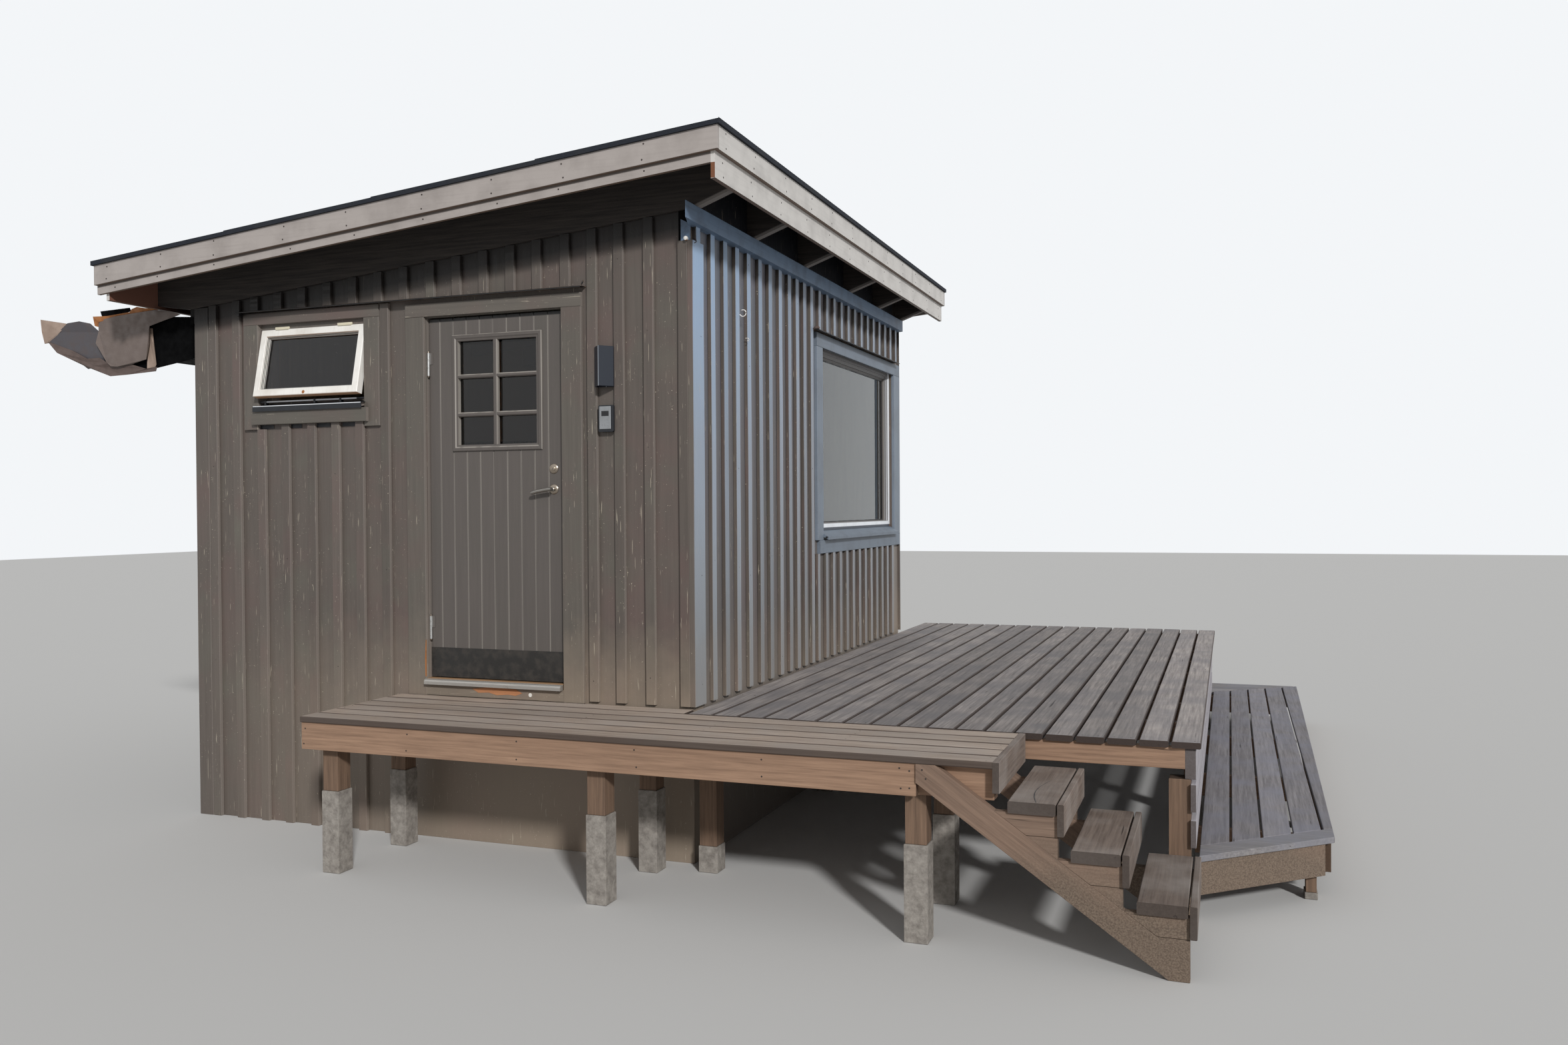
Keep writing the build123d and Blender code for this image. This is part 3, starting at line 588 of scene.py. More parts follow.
def concrete_material():
    """Cast concrete: grey with pits and stains."""
    look = Look("concrete", roughness=0.9, specular=0.2)
    coarse = look.noise(25, detail=8, rough=0.7)
    look.color = look.mix(look.span(coarse, 0.35, 0.7), (116, 110, 104), (166, 160, 152))
    look.bump(coarse, 0.004)
    return look.done()


def glass_material(name, dust, shine, specks=0.0, tint=(0.34, 0.38, 0.38)):
    """Window glass: dark and glossy, with a film of dust; the tint is its light."""
    look = Look(name, roughness=0.02, specular=shine)
    look.surface.inputs["IOR"].default_value = 1.45
    look.color = Vector((*tint, 1.0))
    look.layer(look.noise(30, detail=6, seed=2.0), 0.5, 0.8, (120, 118, 112), dust)
    specked = look.span(look.noise(130, detail=2, seed=4.0), 0.70, 0.72, specks)
    look.link(look.math("SUBTRACT", 1.0, specked), look.surface.inputs["Transmission Weight"])
    look.over(specked, (170, 160, 146))
    return look.done()


DOOR_COLOR, UNDER_ROOF = (94, 88, 84), (110, 92, 80)
DECK_SIDE, BOARD_END = (54, 42, 36), (60, 48, 40)
SIDING = siding("siding", (98, 90, 84))
SIDING_BOARDS = siding("siding_side_boards", (98, 88, 81), 0.26, eave=True)
SIDING_SIDE = siding("siding_side_battens", (98, 90, 84), 1.0)
TRIM_UP = siding("trim_upright", (103, 97, 90), 0.0, 0.8)
TRIM_LEVEL = siding("trim_level", (103, 97, 90), 0.0, 0.8, along="X")
TRIM_SIDE_UP = coated("trim_side_upright", (122, 132, 144), (96, 98, 102), "Z")
TRIM_SLATE = coated("trim_slate", (112, 122, 134), (84, 88, 94), "Y")
PLATE_PAINT = coated("plate_paint", (110, 132, 158), (58, 62, 70), "Y", amount=0.7)
# Blue-grey paint on the large window's foot, darkened as painted shade under the frame.
SHADED_FOOT_PAINT = coated("shaded_foot_paint", (64, 70, 80), (50, 54, 60), "Y")
DOOR_PAINT = door_coat("door_paint", True)
DOOR_RIM = door_coat("door_rim_paint", False)
FASCIA = coated("fascia_paint", (168, 160, 155), (124, 116, 111), "X", under=UNDER_ROOF, shadow_band=(0.111, 0.123))
FASCIA_SIDE = coated("fascia_side_paint", (206, 202, 197), (150, 146, 142), "Y", eaves=True, under=UNDER_ROOF)
FELT = felt_material()
DECK_WOOD = wood(
    "deck_wood", (108, 102, 100), (182, 173, 168), "Y", shade=(0.74, 1.2), grey=(118, 115, 117),
    sides=DECK_SIDE,
)
WALK_WOOD = wood("walkway_wood", (130, 114, 103), (194, 178, 163), "X", grey=(160, 150, 142), sides=DECK_SIDE)
STEP_WOOD = wood("step_wood", (92, 80, 73), (138, 124, 114), "Y", grey=(154, 146, 140))
LOW_WOOD = wood("low_deck_wood", (92, 88, 90), (148, 144, 146), "Y", grey=(126, 126, 136))
LOW_WOOD_X = wood("low_deck_wood_x", (96, 92, 92), (152, 148, 146), "X", grey=(130, 130, 138))
RIM_WOOD = wood("rim_wood", (150, 146, 150), (188, 184, 188), "Y", shade=(0.9, 1.06), tip=BOARD_END)
BROWN_X = wood("brown_wood_x", (126, 100, 82), (170, 138, 114), "X", shade=(0.86, 1.1), depth=0.0008)
BROWN_Y = wood("brown_wood_y", (102, 80, 64), (144, 114, 92), "Y", shade=(0.86, 1.1))
BROWN_Z = wood("brown_wood_z", (93, 75, 62), (132, 107, 88), "Z", shade=(0.86, 1.1))
STRINGER = wood("stringer_wood", (106, 87, 75), (144, 120, 103), "S", shade=(0.9, 1.06), mud=0.48)
INFILL = wood("infill_wood", (106, 87, 75), (144, 121, 104), "X", shade=(0.86, 1.1), mud=0.48)
RAW_WOOD = wood("raw_wood", (150, 104, 66), (194, 146, 102), "Z", shade=(0.9, 1.05))
WORN_WOOD = wood("worn_wood", (156, 104, 70), (192, 138, 100), "X", shade=(0.95, 1.05))
SILL_WOOD = wood("sill_wood", (136, 104, 74), (176, 142, 108), "X", shade=(0.9, 1.05))
END_GRAIN = wood("end_grain", (104, 66, 46), (126, 84, 60), "Z", shade=(0.95, 1.05))
FLOOR_WOOD = wood("floor_wood", (140, 108, 76), (178, 142, 104), "X", shade=(0.9, 1.05))
# Painted shade: the roof boards and the low plate made near black, as they lie in the eave's shade.
SHADED_EAVE_WOOD = wood("shaded_eave_wood", (27, 25, 24), (46, 42, 40), "Y", shade=(0.8, 1.1))
RAFTER_WOOD = rafter_material()
# Faces looking down show bare brown wood, its colour raised as painted light so that the shaded underside
# reads light.
WHITE = coated(
    "window_white", (240, 237, 231), (172, 158, 138), "Z", rough=0.35, amount=0.35, under=(196, 152, 116)
)
WHITE_SIDE = coated("window_white_side", (238, 241, 245), (176, 178, 182), "Z", rough=0.35, amount=0.3)
REBATE = rebate_material()
GASKET = metal("gasket", (22, 22, 24), 0.5, 0.0)
BLACK_METAL = metal("black_metal", (18, 21, 27), 0.5, 0.0, (32, 34, 38))
CAP_METAL = cap_material()
LAMP_METAL = lamp_material()
STEEL = metal("steel", (158, 146, 132), 0.3)
LEVER = metal("lever", (142, 138, 132), 0.35, 0.8)
HINGE = hinge_material()
ALUMINIUM = metal("aluminium", (176, 172, 166), 0.4, 0.6)
KICK = metal("kick_plate", (38, 36, 34), 0.5, 0.1, (72, 66, 60), 0.7)
KEY_FACE = metal("key_box_face", (146, 148, 150), 0.35, 0.5)
PALE_METAL = metal("pale_metal", (222, 214, 190), 0.5, 0.0)
SHEET = metal("sheet", (106, 94, 88), 0.6, 0.0, (94, 84, 80), 0.4)
SHEET_PALE = metal("sheet_pale", (158, 138, 124), 0.6, 0.0, (130, 110, 98), 0.5)
SHEET_DARK = metal("sheet_dark", (75, 72, 76), 0.6, 0.0, (98, 84, 78), 0.5)
SHEET_BROWN = metal("sheet_brown", (88, 73, 67), 0.6, 0.0, (64, 56, 54), 0.5)
RUST = metal("rust", (158, 102, 56), 0.8, 0.0, (104, 68, 44), 0.7)
NAIL = metal("nail", (58, 50, 46), 0.6, 0.3)
# Painted shade: near black with almost no sheen, for the box under the low eave and for hollows and backings
# that lie in shade.
DARK_VOID = metal("painted_shadow_black", (8, 8, 9), 0.8, 0.0, specular=0.05)
CONCRETE = concrete_material()
GLASS = glass_material("glass", 0.12, 0.05, tint=(0.20, 0.17, 0.155))
GLASS_SMALL = glass_material("glass_small", 0.18, 0.06, 0.6, (0.26, 0.235, 0.23))
GLASS_LARGE = glass_material("glass_large", 0.2, 0.9)

NODE_MATERIALS = (

    (
        SIDING,
        "front_wall_left front_wall_right front_wall_over_door front_wall_under_door left_wall back_wall",
    ),
    (SIDING_BOARDS, "window_wall"), (FLOOR_WOOD, "floor"),
    (TRIM_UP, "door_frame door_trim small_window_trim small_window_frame"),
    (TRIM_SIDE_UP, "big_window_trim"), (TRIM_SLATE, "big_window_sill"), (PLATE_PAINT, "eave_plates"),
    (SHADED_EAVE_WOOD, "roof_boards"), (RAFTER_WOOD, "rafters"), (FELT, "roof_felt"),
    (FASCIA, "gable_fascias_upper gable_fascias_lower"),
    (FASCIA_SIDE, "eave_fascias_upper eave_fascias_lower"), (DOOR_PAINT, "door_leaf door_glazing_beads"),
    (GLASS, "door_glass"), (GLASS_SMALL, "small_window_glass"), (GLASS_LARGE, "big_window_glass"),
    (KICK, "door_kick_plate"), (STEEL, "door_lock"), (HINGE, "door_hinges frame_hinges"),
    (LEVER, "door_handle"), (ALUMINIUM, "threshold"), (WHITE, "small_window_sash big_window_frame"),
    (CAP_METAL, "drip_caps"), (LAMP_METAL, "wall_lamp"), (BLACK_METAL, "key_box"), (DARK_VOID, "eave_box"),
    (SHEET, "bent_sheet"), (CONCRETE, "post_piers"), (BROWN_Z, "deck_posts"),
    (DECK_WOOD, "main_deck_boards"),
    (BROWN_X, "main_deck_joists walkway_fascias walkway_beams platform_joists"),
    (INFILL, "platform_fascia_ends"), (BROWN_Y, "walkway_joists platform_fascia_side"),
    (RIM_WOOD, "main_deck_rim step_cladding"), (WALK_WOOD, "walkway_boards"),
    (LOW_WOOD, "platform_side_boards"), (LOW_WOOD_X, "platform_back_boards"),
    (STEP_WOOD, "stair_treads walkway_end_board"), (STRINGER, "stair_stringers"),
)


def dress(names, material):
    """Gives CAD nodes their material."""
    for name in names.split():
        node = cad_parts[name]
        if not node.material_slots:
            node.data.materials.append(material)
        for place in node.material_slots:
            place.material = material


def soften(names, width):
    """Rounds the edges of CAD nodes a little."""
    for name in names.split():
        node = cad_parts[name]
        weld = node.modifiers.new("weld", "WELD")
        weld.merge_threshold = 0.00005
        edge = node.modifiers.new("edge", "BEVEL")
        edge.width, edge.segments, edge.limit_method = width, 2, "ANGLE"


for material, names in NODE_MATERIALS:
    dress(names, material)
soften("deck_posts post_piers main_deck_joists main_deck_rim walkway_end_board", 0.003)
soften("walkway_fascias platform_fascia_ends platform_fascia_side step_cladding wall_lamp key_box", 0.002)
soften("gable_fascias_upper gable_fascias_lower eave_fascias_upper eave_fascias_lower rafters", 0.0015)


# Battens on the walls
BATTEN_WIDTH = 0.055
BATTEN_PITCH = 0.168
SEAT = 0.0005
FOOT = 0.012
CORNER_NOTCH = 2.345
TRIM_LOW, TRIM_HIGH = box("door_trim")
SMALL_LOW, SMALL_HIGH = box("small_window_trim")
BIG_LOW, BIG_HIGH = box("big_window_trim")
WALK_LOW, WALK_HIGH = box("walkway_boards")
FULL_LEFT = (-3.11, -2.935, -2.756, -2.583, -2.4, -2.232, -2.068, -1.894)
FULL_RIGHT = (-0.601, -0.446, -0.277)
OVER_CAP = (
    -2.8, -2.63, -2.46, -2.284, -2.108, -1.935, -1.766, -1.591, -1.422, -1.253, -1.087, -0.926, -0.757
)
TALL_NEAR = (0.225, 0.394, 0.56, 0.73, 0.905, 1.065, 1.235, 1.395, 1.535, 1.672, 1.815)


def batten(build, low, high):
    """An upright batten with a slightly uneven width and face."""
    build.plank(low, high, 2, 0.002, 6, 0.0009)


def front_battens():
    """Door wall: battens broken by the window, the door and the long drip cap, with a thin painted shadow
    along each batten's left edge.
    """
    build = Build()
    back = BATTEN - SEAT
    for left in FULL_LEFT:
        right = left + BATTEN_WIDTH
        if right > SMALL_LOW.x and left < SMALL_HIGH.x:
            top = SMALL_LOW.z + (0.025 if -2.75 < left < -2.03 else 0)
        elif left < CAP_LOW.x:
            top = roof_height(left, RAFTER_DROP)
        else:
            top = CAP_LOW.z
        foot = FOOT if left > WALK_LOW.x else GROUND
        batten(build, (left, 0, foot), (right, back, top))
    for left in OVER_CAP:
        batten(build, (left, 0, CAP_HIGH.z), (left + BATTEN_WIDTH, back, roof_height(left, RAFTER_DROP)))
    for left in FULL_RIGHT:
        batten(build, (left, 0, FOOT), (left + BATTEN_WIDTH, back, roof_height(left, RAFTER_DROP)))
    batten(build, (-0.084, 0, FOOT), (-0.031, back, CORNER_NOTCH))
    batten(build, (-WIDTH, 0, GROUND), (0.1 - WIDTH, back, roof_height(-WIDTH, RAFTER_DROP)))
    build.make("front_battens", SIDING)
    # Painted shadow: thin black strips along each batten's left edge.
    batten_shadows = Build()
    for left in FULL_LEFT + FULL_RIGHT:
        under = SMALL_LOW.z if SMALL_LOW.x - BATTEN_WIDTH < left < SMALL_HIGH.x else CAP_LOW.z
        batten_shadows.plank((left - 0.005, BATTEN - 0.0012, FOOT), (left, back, under), 2, 0.0002, tone=0.0)
    batten_shadows.make("batten_shadow_lines", GASKET, slot="siding_paint")


def window_wall_battens():
    """Tall wall: a wide corner board, battens up to the plate, and shorter ones round the window."""
    build = Build()
    top = roof_height(0, PLATE_DROP)
    back = SEAT - BATTEN
    near, far = BIG_LOW.y, BIG_HIGH.y
    batten(build, (-0.031, 0, FOOT), (0, 0.135, CORNER_NOTCH))
    batten(build, (back, 0.045, CORNER_NOTCH), (0, 0.097, top))
    for y in TALL_NEAR:
        batten(build, (back, y, FOOT), (0, y + BATTEN_WIDTH, top))
    over, under = 13, 12
    for k in range(over):
        y = near + 0.042 + k * 0.16
        batten(build, (back, y, CAP_HIGH.z), (0, y + BATTEN_WIDTH - 0.008, top))
    for k in range(under):
        y = near + 0.165 + k * 0.152
        batten(build, (back, y, FOOT), (0, y + BATTEN_WIDTH - 0.005, BIG_LOW.z))
    batten(build, (back, near, FOOT), (0, near + 0.045, BIG_LOW.z))
    batten(build, (back, far, FOOT), (0, DEPTH, top))
    build.make("window_wall_battens", SIDING_SIDE)


def corner_patch():
    """A piece let in at the head of the front corner, and a near-black backing beside it as painted shade."""
    patch = Build()
    patch.prism(
        [(-0.064, CORNER_NOTCH), (-0.016, CORNER_NOTCH), (-0.016, 2.427), (-0.064, 2.452)], 1, 0, 0.014, 0.2
    )
    patch.make("corner_patch", PLATE_PAINT)
    # Painted shade: a near-black plank where the slot beside the patch lies in shadow.
    patch = Build()
    patch.plank(
        (-0.084, 0.016, CORNER_NOTCH), (-0.02, 0.0215, roof_height(0, RAFTER_DROP)), 2, 0.001, tone=0.0
    )
    patch.make("corner_shadow_backing", DARK_VOID, slot="siding_paint")


def plain_battens():
    """Left and back walls: even battens over the whole height, with corner boards."""
    build = Build()
    top = roof_height(-WIDTH, PLATE_DROP)
    edge = BATTEN - SEAT
    for k in range(int((DEPTH - 0.2) / BATTEN_PITCH)):
        y = 0.16 + k * BATTEN_PITCH
        batten(build, (-WIDTH, y, GROUND), (edge - WIDTH, y + BATTEN_WIDTH, top))
    for y in (BATTEN, DEPTH - 0.1):
        batten(build, (-WIDTH, y, GROUND), (edge - WIDTH, y + 0.1, top))
    for k in range(int((WIDTH - 0.2) / BATTEN_PITCH)):
        x = 0.16 - WIDTH + k * BATTEN_PITCH
        batten(build, (x, DEPTH - edge, GROUND), (x + BATTEN_WIDTH, DEPTH, roof_height(x, RAFTER_DROP)))
    for x in (BATTEN - WIDTH, -0.1 - BATTEN):
        batten(build, (x, DEPTH - edge, GROUND), (x + 0.1, DEPTH, roof_height(x, RAFTER_DROP)))
    build.make("plain_battens", SIDING)


front_battens()
window_wall_battens()
corner_patch()
plain_battens()


# Decks
BOARD_WIDTH, DECK_PITCH, WALK_PITCH, WALK_BOARDS = 0.120, 0.133, 0.1312, 6
WALK_JOISTS = (-1.7515, 1.6055)


def deck_board(build, low, high, axis):
    """A board whose top and ends stand a little uneven."""
    low, high = Vector(low), Vector(high)
    ends = wobble(0.003)
    low[axis] += ends
    high[axis] += ends if axis == 1 else 0
    high.z -= abs(wobble(0.0012))
    build.plank(low, high, axis, 0.004, 10, 0.0008)


def main_deck():
    """Boards of the main deck, from its right edge to the tall wall."""
    build = Build()
    low, high = box("main_deck_boards")
    edge = high.x
    while edge > low.x:
        left = max(edge - BOARD_WIDTH, low.x)
        deck_board(build, (left, low.y + 0.003, low.z), (edge, high.y - 0.003, high.z), 1)
        edge -= DECK_PITCH
    build.make("deck_planks", DECK_WOOD, replaces=["main_deck_boards"])


def walkway():
    """Boards along the door wall, the last one only beside the cabin."""
    build = Build()
    low, high = WALK_LOW, WALK_HIGH
    for k in range(WALK_BOARDS):
        y = low.y + k * WALK_PITCH
        right = -0.01 if k == WALK_BOARDS - 1 else high.x
        deck_board(build, (low.x + 0.003, y, low.z), (right, min(y + BOARD_WIDTH, high.y), high.z), 0)
    build.make("walkway_planks", WALK_WOOD, replaces=["walkway_boards"])


PLATFORM_LEFT, PLATFORM_RIGHT = 2.384, (2.950, 3.021)
PLATFORM_FRONT, PLATFORM_BACK = (-0.085, 0.427), (4.810, 5.290)
BORDER = (0.085, 0.586)


def low_platform():
    """Long boards, a border board across the slanting front, and a mitred run along the back."""
    low, high = box("platform_side_boards")
    front = ((PLATFORM_LEFT, PLATFORM_FRONT[0]), (PLATFORM_RIGHT[0], PLATFORM_FRONT[1]))
    border = ((PLATFORM_LEFT, BORDER[0]), (PLATFORM_RIGHT[0] + 0.002, BORDER[1]))
    corner = ((PLATFORM_LEFT, PLATFORM_BACK[0]), (PLATFORM_RIGHT[1], PLATFORM_BACK[1]))
    edge = ((PLATFORM_RIGHT[0], PLATFORM_FRONT[1]), corner[1])
    across = Build()
    across.prism([front[0], front[1], border[1], border[0]], 2, low.z, high.z)
    across.make("platform_border", LOW_WOOD_X, bevel=0.003)
    side = Build()
    width, pitch, seam = 0.120, 0.132, 0.006
    left = PLATFORM_LEFT
    while left < PLATFORM_RIGHT[1]:
        right = left + width
        board = [(left, 0), (right, 0), (right, 6), (left, 6)]
        board = cut(board, (border[0][0], border[0][1] + seam), (border[1][0], border[1][1] + seam))
        board = cut(board, (corner[1][0], corner[1][1] - seam), (corner[0][0], corner[0][1] - seam))
        board = cut(board, edge[0], edge[1])
        if len(board) > 2:
            side.prism(board, 2, low.z, high.z - abs(wobble(0.0012)))
        left += pitch
    side.make("platform_planks", LOW_WOOD, replaces=["platform_side_boards"], bevel=0.003)
    back = Build()
    start, end = box("platform_back_boards")[0].x, PLATFORM_RIGHT[1]
    for k in range(3):
        y = PLATFORM_BACK[0] + k * 0.16
        board = [(start, y), (end, y), (end, y + 0.149), (start, y + 0.149)]
        board = cut(board, (corner[0][0], corner[0][1] + seam), (corner[1][0], corner[1][1] + seam))
        back.prism(board, 2, low.z, high.z - abs(wobble(0.0012)))
    back.make("platform_back_planks", LOW_WOOD_X, replaces=["platform_back_boards"], bevel=0.003)


main_deck()
walkway()
low_platform()

# Stair
TREADS = 3
TREAD_RUN, TREAD_RISE = 0.243, 0.172
TREAD_DEPTH, TREAD_THICKNESS = 0.192, 0.048
NOSING_GAP = 0.007
NOSING_HEIGHT, NOSING_THICKNESS = 0.125, 0.026
STRINGER_THICKNESS = 0.045
STRINGER_SHOULDER, STRINGER_END = 0.080, 0.076
STAIR_LOW, STAIR_HIGH = box("stair_treads")
STRINGER_LOW, STRINGER_HIGH = box("stair_stringers")


def stair_treads():
    """Each tread is a wide plank and, past a gap, a board on edge; the top one has a crack."""
    build = Build()
    low, high = STAIR_LOW, STAIR_HIGH
    for k in range(TREADS):
        left, top = low.x + k * TREAD_RUN, high.z - k * TREAD_RISE
        nose = left + TREAD_DEPTH
        front, back = low.y + abs(wobble(0.004)), high.y - abs(wobble(0.004))
        under = top - TREAD_THICKNESS
        build.plank(
            (left, front, under), (nose - NOSING_GAP, back, top - abs(wobble(0.001))), 1, 0.004, 6, 0.0006
        )
        edge = nose + NOSING_THICKNESS
        build.plank((nose, low.y, top - NOSING_HEIGHT), (edge, high.y, top), 1, 0.003, 6, 0.0006)
    build.make("tread_planks", STEP_WOOD, replaces=["stair_treads"])
    crack = Build()
    path = [
        (low.x + 0.11 - 0.03 * sin(pi * k / 8), low.y + 0.01 + 0.05 * k, high.z - 0.0012) for k in range(9)
    ]
    crack.swept(path, [0.0012, 0.0022, 0.0024, 0.0022, 0.0018, 0.0016, 0.0012, 0.001, 0.0006], 6)
    crack.make("tread_crack", GASKET)


def stringer_boards():
    """Each stringer is a slanting plank with short level boards that fill up to the treads."""
    plank, fill = Build(), Build()
    low, high = STRINGER_LOW, STRINGER_HIGH
    slope = sin(STEP_SLOPE) / cos(STEP_SLOPE)
    left, top = low.x, high.z
    shoulder = left + STRINGER_SHOULDER
    seats = [STAIR_HIGH.z - k * TREAD_RISE - TREAD_THICKNESS for k in range(TREADS)]
    risers = [STAIR_LOW.x + k * TREAD_RUN + TREAD_DEPTH for k in range(TREADS)]
    last = risers[-1]
    end_height = top - STRINGER_END
    outline = [
        (left, end_height), (left + (end_height - GROUND) / slope, GROUND), (last, GROUND),
        (last, top - (last - shoulder) * slope), (shoulder, top), (left, top),
    ]
    for y in (low.y, high.y - STRINGER_THICKNESS):
        plank.prism(outline, 1, y, y + STRINGER_THICKNESS, 0.0)
        for seat, riser in zip(seats, risers):
            corner = top - (riser - shoulder) * slope
            middle = (seat + corner) / 2
            over = shoulder + (top - seat) / slope
            half = shoulder + (top - middle) / slope
            inset = 0.002
            upper = [(over, seat), (riser, seat), (riser, middle + 0.001), (half, middle + 0.001)]
            lower = [(half, middle - 0.001), (riser, middle - 0.001), (riser, corner)]
            for shape in (upper, lower):
                fill.prism(shape, 1, y + inset, y + STRINGER_THICKNESS - inset)
    plank.make("stringer_planks", STRINGER, replaces=["stair_stringers"], bevel=0.002)
    fill.make("stringer_infill", INFILL, bevel=0.0015)


stair_treads()
stringer_boards()

# Door
PANE_LOW, PANE_HIGH = box("door_glass")
BEAD_LOW, BEAD_HIGH = box("door_glazing_beads")
MUNTIN_X = (-1.188, -1.159)
MUNTIN_Z = ((1.715, 1.738), (1.508, 1.533))
OUT = (0, -1, 0)


def door_leaf():
    """A leaf of narrow boards on both faces of a core, with an opening for the glazing."""
    build = Build()
    skin, seam = 0.006, 0.0008
    low, high = LEAF_LOW, LEAF_HIGH
    core = (
        (low.x, PANE_LOW.x, low.z, high.z), (PANE_HIGH.x, high.x, low.z, high.z),
        (PANE_LOW.x, PANE_HIGH.x, low.z, PANE_LOW.z), (PANE_LOW.x, PANE_HIGH.x, PANE_HIGH.z, high.z),
    )
    for a, b, foot, head in core:
        build.plank((a, low.y + skin, foot), (b, high.y - skin, head), 2, 0.0002, tone=0)
    edges = [low.x, *[low.x + GROOVE_FIRST + GROOVE_PITCH * k for k in range(GROOVES)], high.x]
    for left, right in zip(edges, edges[1:]):
        tone = wobble(0.2)
        runs = [(left, right, low.z, high.z)]
        if right > PANE_LOW.x and left < PANE_HIGH.x:
            runs = [(left, right, low.z, PANE_LOW.z), (left, right, PANE_HIGH.z, high.z)]
            if left < PANE_LOW.x:
                runs.append((left, PANE_LOW.x, PANE_LOW.z, PANE_HIGH.z))
            if right > PANE_HIGH.x:
                runs.append((PANE_HIGH.x, right, PANE_LOW.z, PANE_HIGH.z))
        for a, b, foot, head in runs:
            for front, back in ((low.y, low.y + skin + 0.001), (high.y - skin - 0.001, high.y)):
                build.plank((a + seam, front, foot), (b - seam, back, head), 2, 0.0028, tone=tone)
    build.make("door_boards", DOOR_PAINT, "door", ["door_leaf"])


def door_glazing():
    """A moulded surround with two by three panes, and raw wood behind the glass."""
    build = Build()
    face, back = BEAD_LOW.y, BEAD_HIGH.y
    lip = 0.034
    profile = [
        (0, back), (0, face + 0.003), (0.003, face), (0.018, face), (0.024, face + 0.004),
        (lip, face + 0.006), (lip, PANE_LOW.y), (lip - 0.004, PANE_LOW.y), (lip - 0.004, back),
    ]
    build.ring(BEAD_LOW, BEAD_HIGH, 1, profile, tone=0.1)
    front = face + 0.004
    build.plank((MUNTIN_X[0], front, PANE_LOW.z), (MUNTIN_X[1], PANE_LOW.y, PANE_HIGH.z), 2, 0.006, tone=0.1)
    for low, high in MUNTIN_Z:
        build.plank((PANE_LOW.x, front + 0.001, low), (PANE_HIGH.x, PANE_LOW.y, high), 0, 0.006, tone=0.1)
    build.make("door_muntins", DOOR_RIM, "door", ["door_glazing_beads"])
    wooden = Build()
    start, end = PANE_HIGH.y, LEAF_HIGH.y - 0.002
    wooden.ring(PANE_LOW, PANE_HIGH, 1, [(0, start), (0.016, start), (0.008, end), (0, end)])
    wooden.plank(
        (MUNTIN_X[0] + 0.002, start, PANE_LOW.z), (MUNTIN_X[1] - 0.002, end - 0.004, PANE_HIGH.z), 2, 0.004
    )
    for low, high in MUNTIN_Z:
        wooden.plank((PANE_LOW.x, start, low + 0.002), (PANE_HIGH.x, end - 0.005, high - 0.002), 0, 0.004)
    wooden.make("door_inner_bars", RAW_WOOD, "door")


def door_lock():
    """Two round roses and the lock's cylinder with its key slot."""
    low, high = box("door_lock")
    radius = (high.x - low.x) / 2
    x, face = low.x + radius, LEAF_LOW.y
    lock = Build()
    rose = [(0, radius), (0.003, radius), (0.0065, radius - 0.004), (0.008, radius * 0.6), (0.008, 0.004)]
    for z in (high.z - radius, low.z + radius):
        lock.turned((x, face, z), OUT, rose, 32)
    z = high.z - radius
    lock.turned(
        (x, face - 0.004, z), OUT, [(0, 0.0135), (0.007, 0.0135), (0.0085, 0.0115), (0.0085, 0.003)], 24
    )
    lock.make("lock_roses", STEEL, "door", ["door_lock"], smooth=True)
    slot = Build()
    slot.plank((x - 0.001, face - 0.0131, z - 0.0055), (x + 0.001, face - 0.0124, z + 0.0055), 2, 0.0003)
    slot.make("key_slot", GASKET, "door")


def door_lever():
    """A round neck and a flattened grip that droops to the left."""
    low = box("door_handle")[0]
    rose_low, rose_high = box("door_lock")
    radius = (rose_high.x - rose_low.x) / 2
    x, z = rose_low.x + radius, rose_low.z + radius
    start, grip = LEAF_LOW.y - 0.0083, low.y + 0.009
    reach = start - low.y
    lever = Build()
    lever.turned((x, start, z), OUT, [(0, 0.0115), (0.012, 0.0115), (0.014, 0.0085), (reach - 0.004, 0.0085)])
    path = [
        (x + 0.009, grip, z + 0.001), (x - 0.006, grip, z), (x - 0.03, grip, z - 0.003),
        (x - 0.07, grip + 0.001, z - 0.009), (x - 0.098, grip + 0.003, z - 0.015),
        (x - 0.115, grip + 0.005, z - 0.019),
    ]
    lever.swept(path, [0.0085, 0.0105, 0.0100, 0.0106, 0.0108, 0.008], 16, 1.0)
    lever.make("lever", LEVER, "handle", ["door_handle"], smooth=True)


def hinge_ends():
    """A small knob over and under each hinge."""
    door_high, frame_low = box("door_hinges")[1], box("frame_hinges")[0]
    x, y = LEAF_LOW.x, LEAF_LOW.y - 0.007
    finial = [(0, 0.0045), (0.002, 0.0045), (0.0035, 0.0062), (0.007, 0.0058), (0.009, 0.002)]
    length = 0.125
    upper, lower = Build(), Build()
    for z in (door_high.z, frame_low.z + length):
        upper.turned((x, y, z), (0, 0, 1), finial, 14)
    for z in (frame_low.z, door_high.z - length):
        lower.turned((x, y, z), (0, 0, -1), finial, 14)
    upper.make("hinge_heads", STEEL, "door", smooth=True)
    lower.make("hinge_feet", STEEL, smooth=True)


def kick_plate_screws():
    low, high = box("door_kick_plate")
    screws = Build()
    places = []
    for k in range(6):
        across = low.x + 0.02 + k * (high.x - low.x - 0.04) / 5
        places += [(across, low.y, low.z + 0.012), (across, low.y, high.z - 0.01)]
    screws.dots(places, OUT, 0.0032, 0.0008)
    screws.make("kick_plate_screws", NAIL, "door")


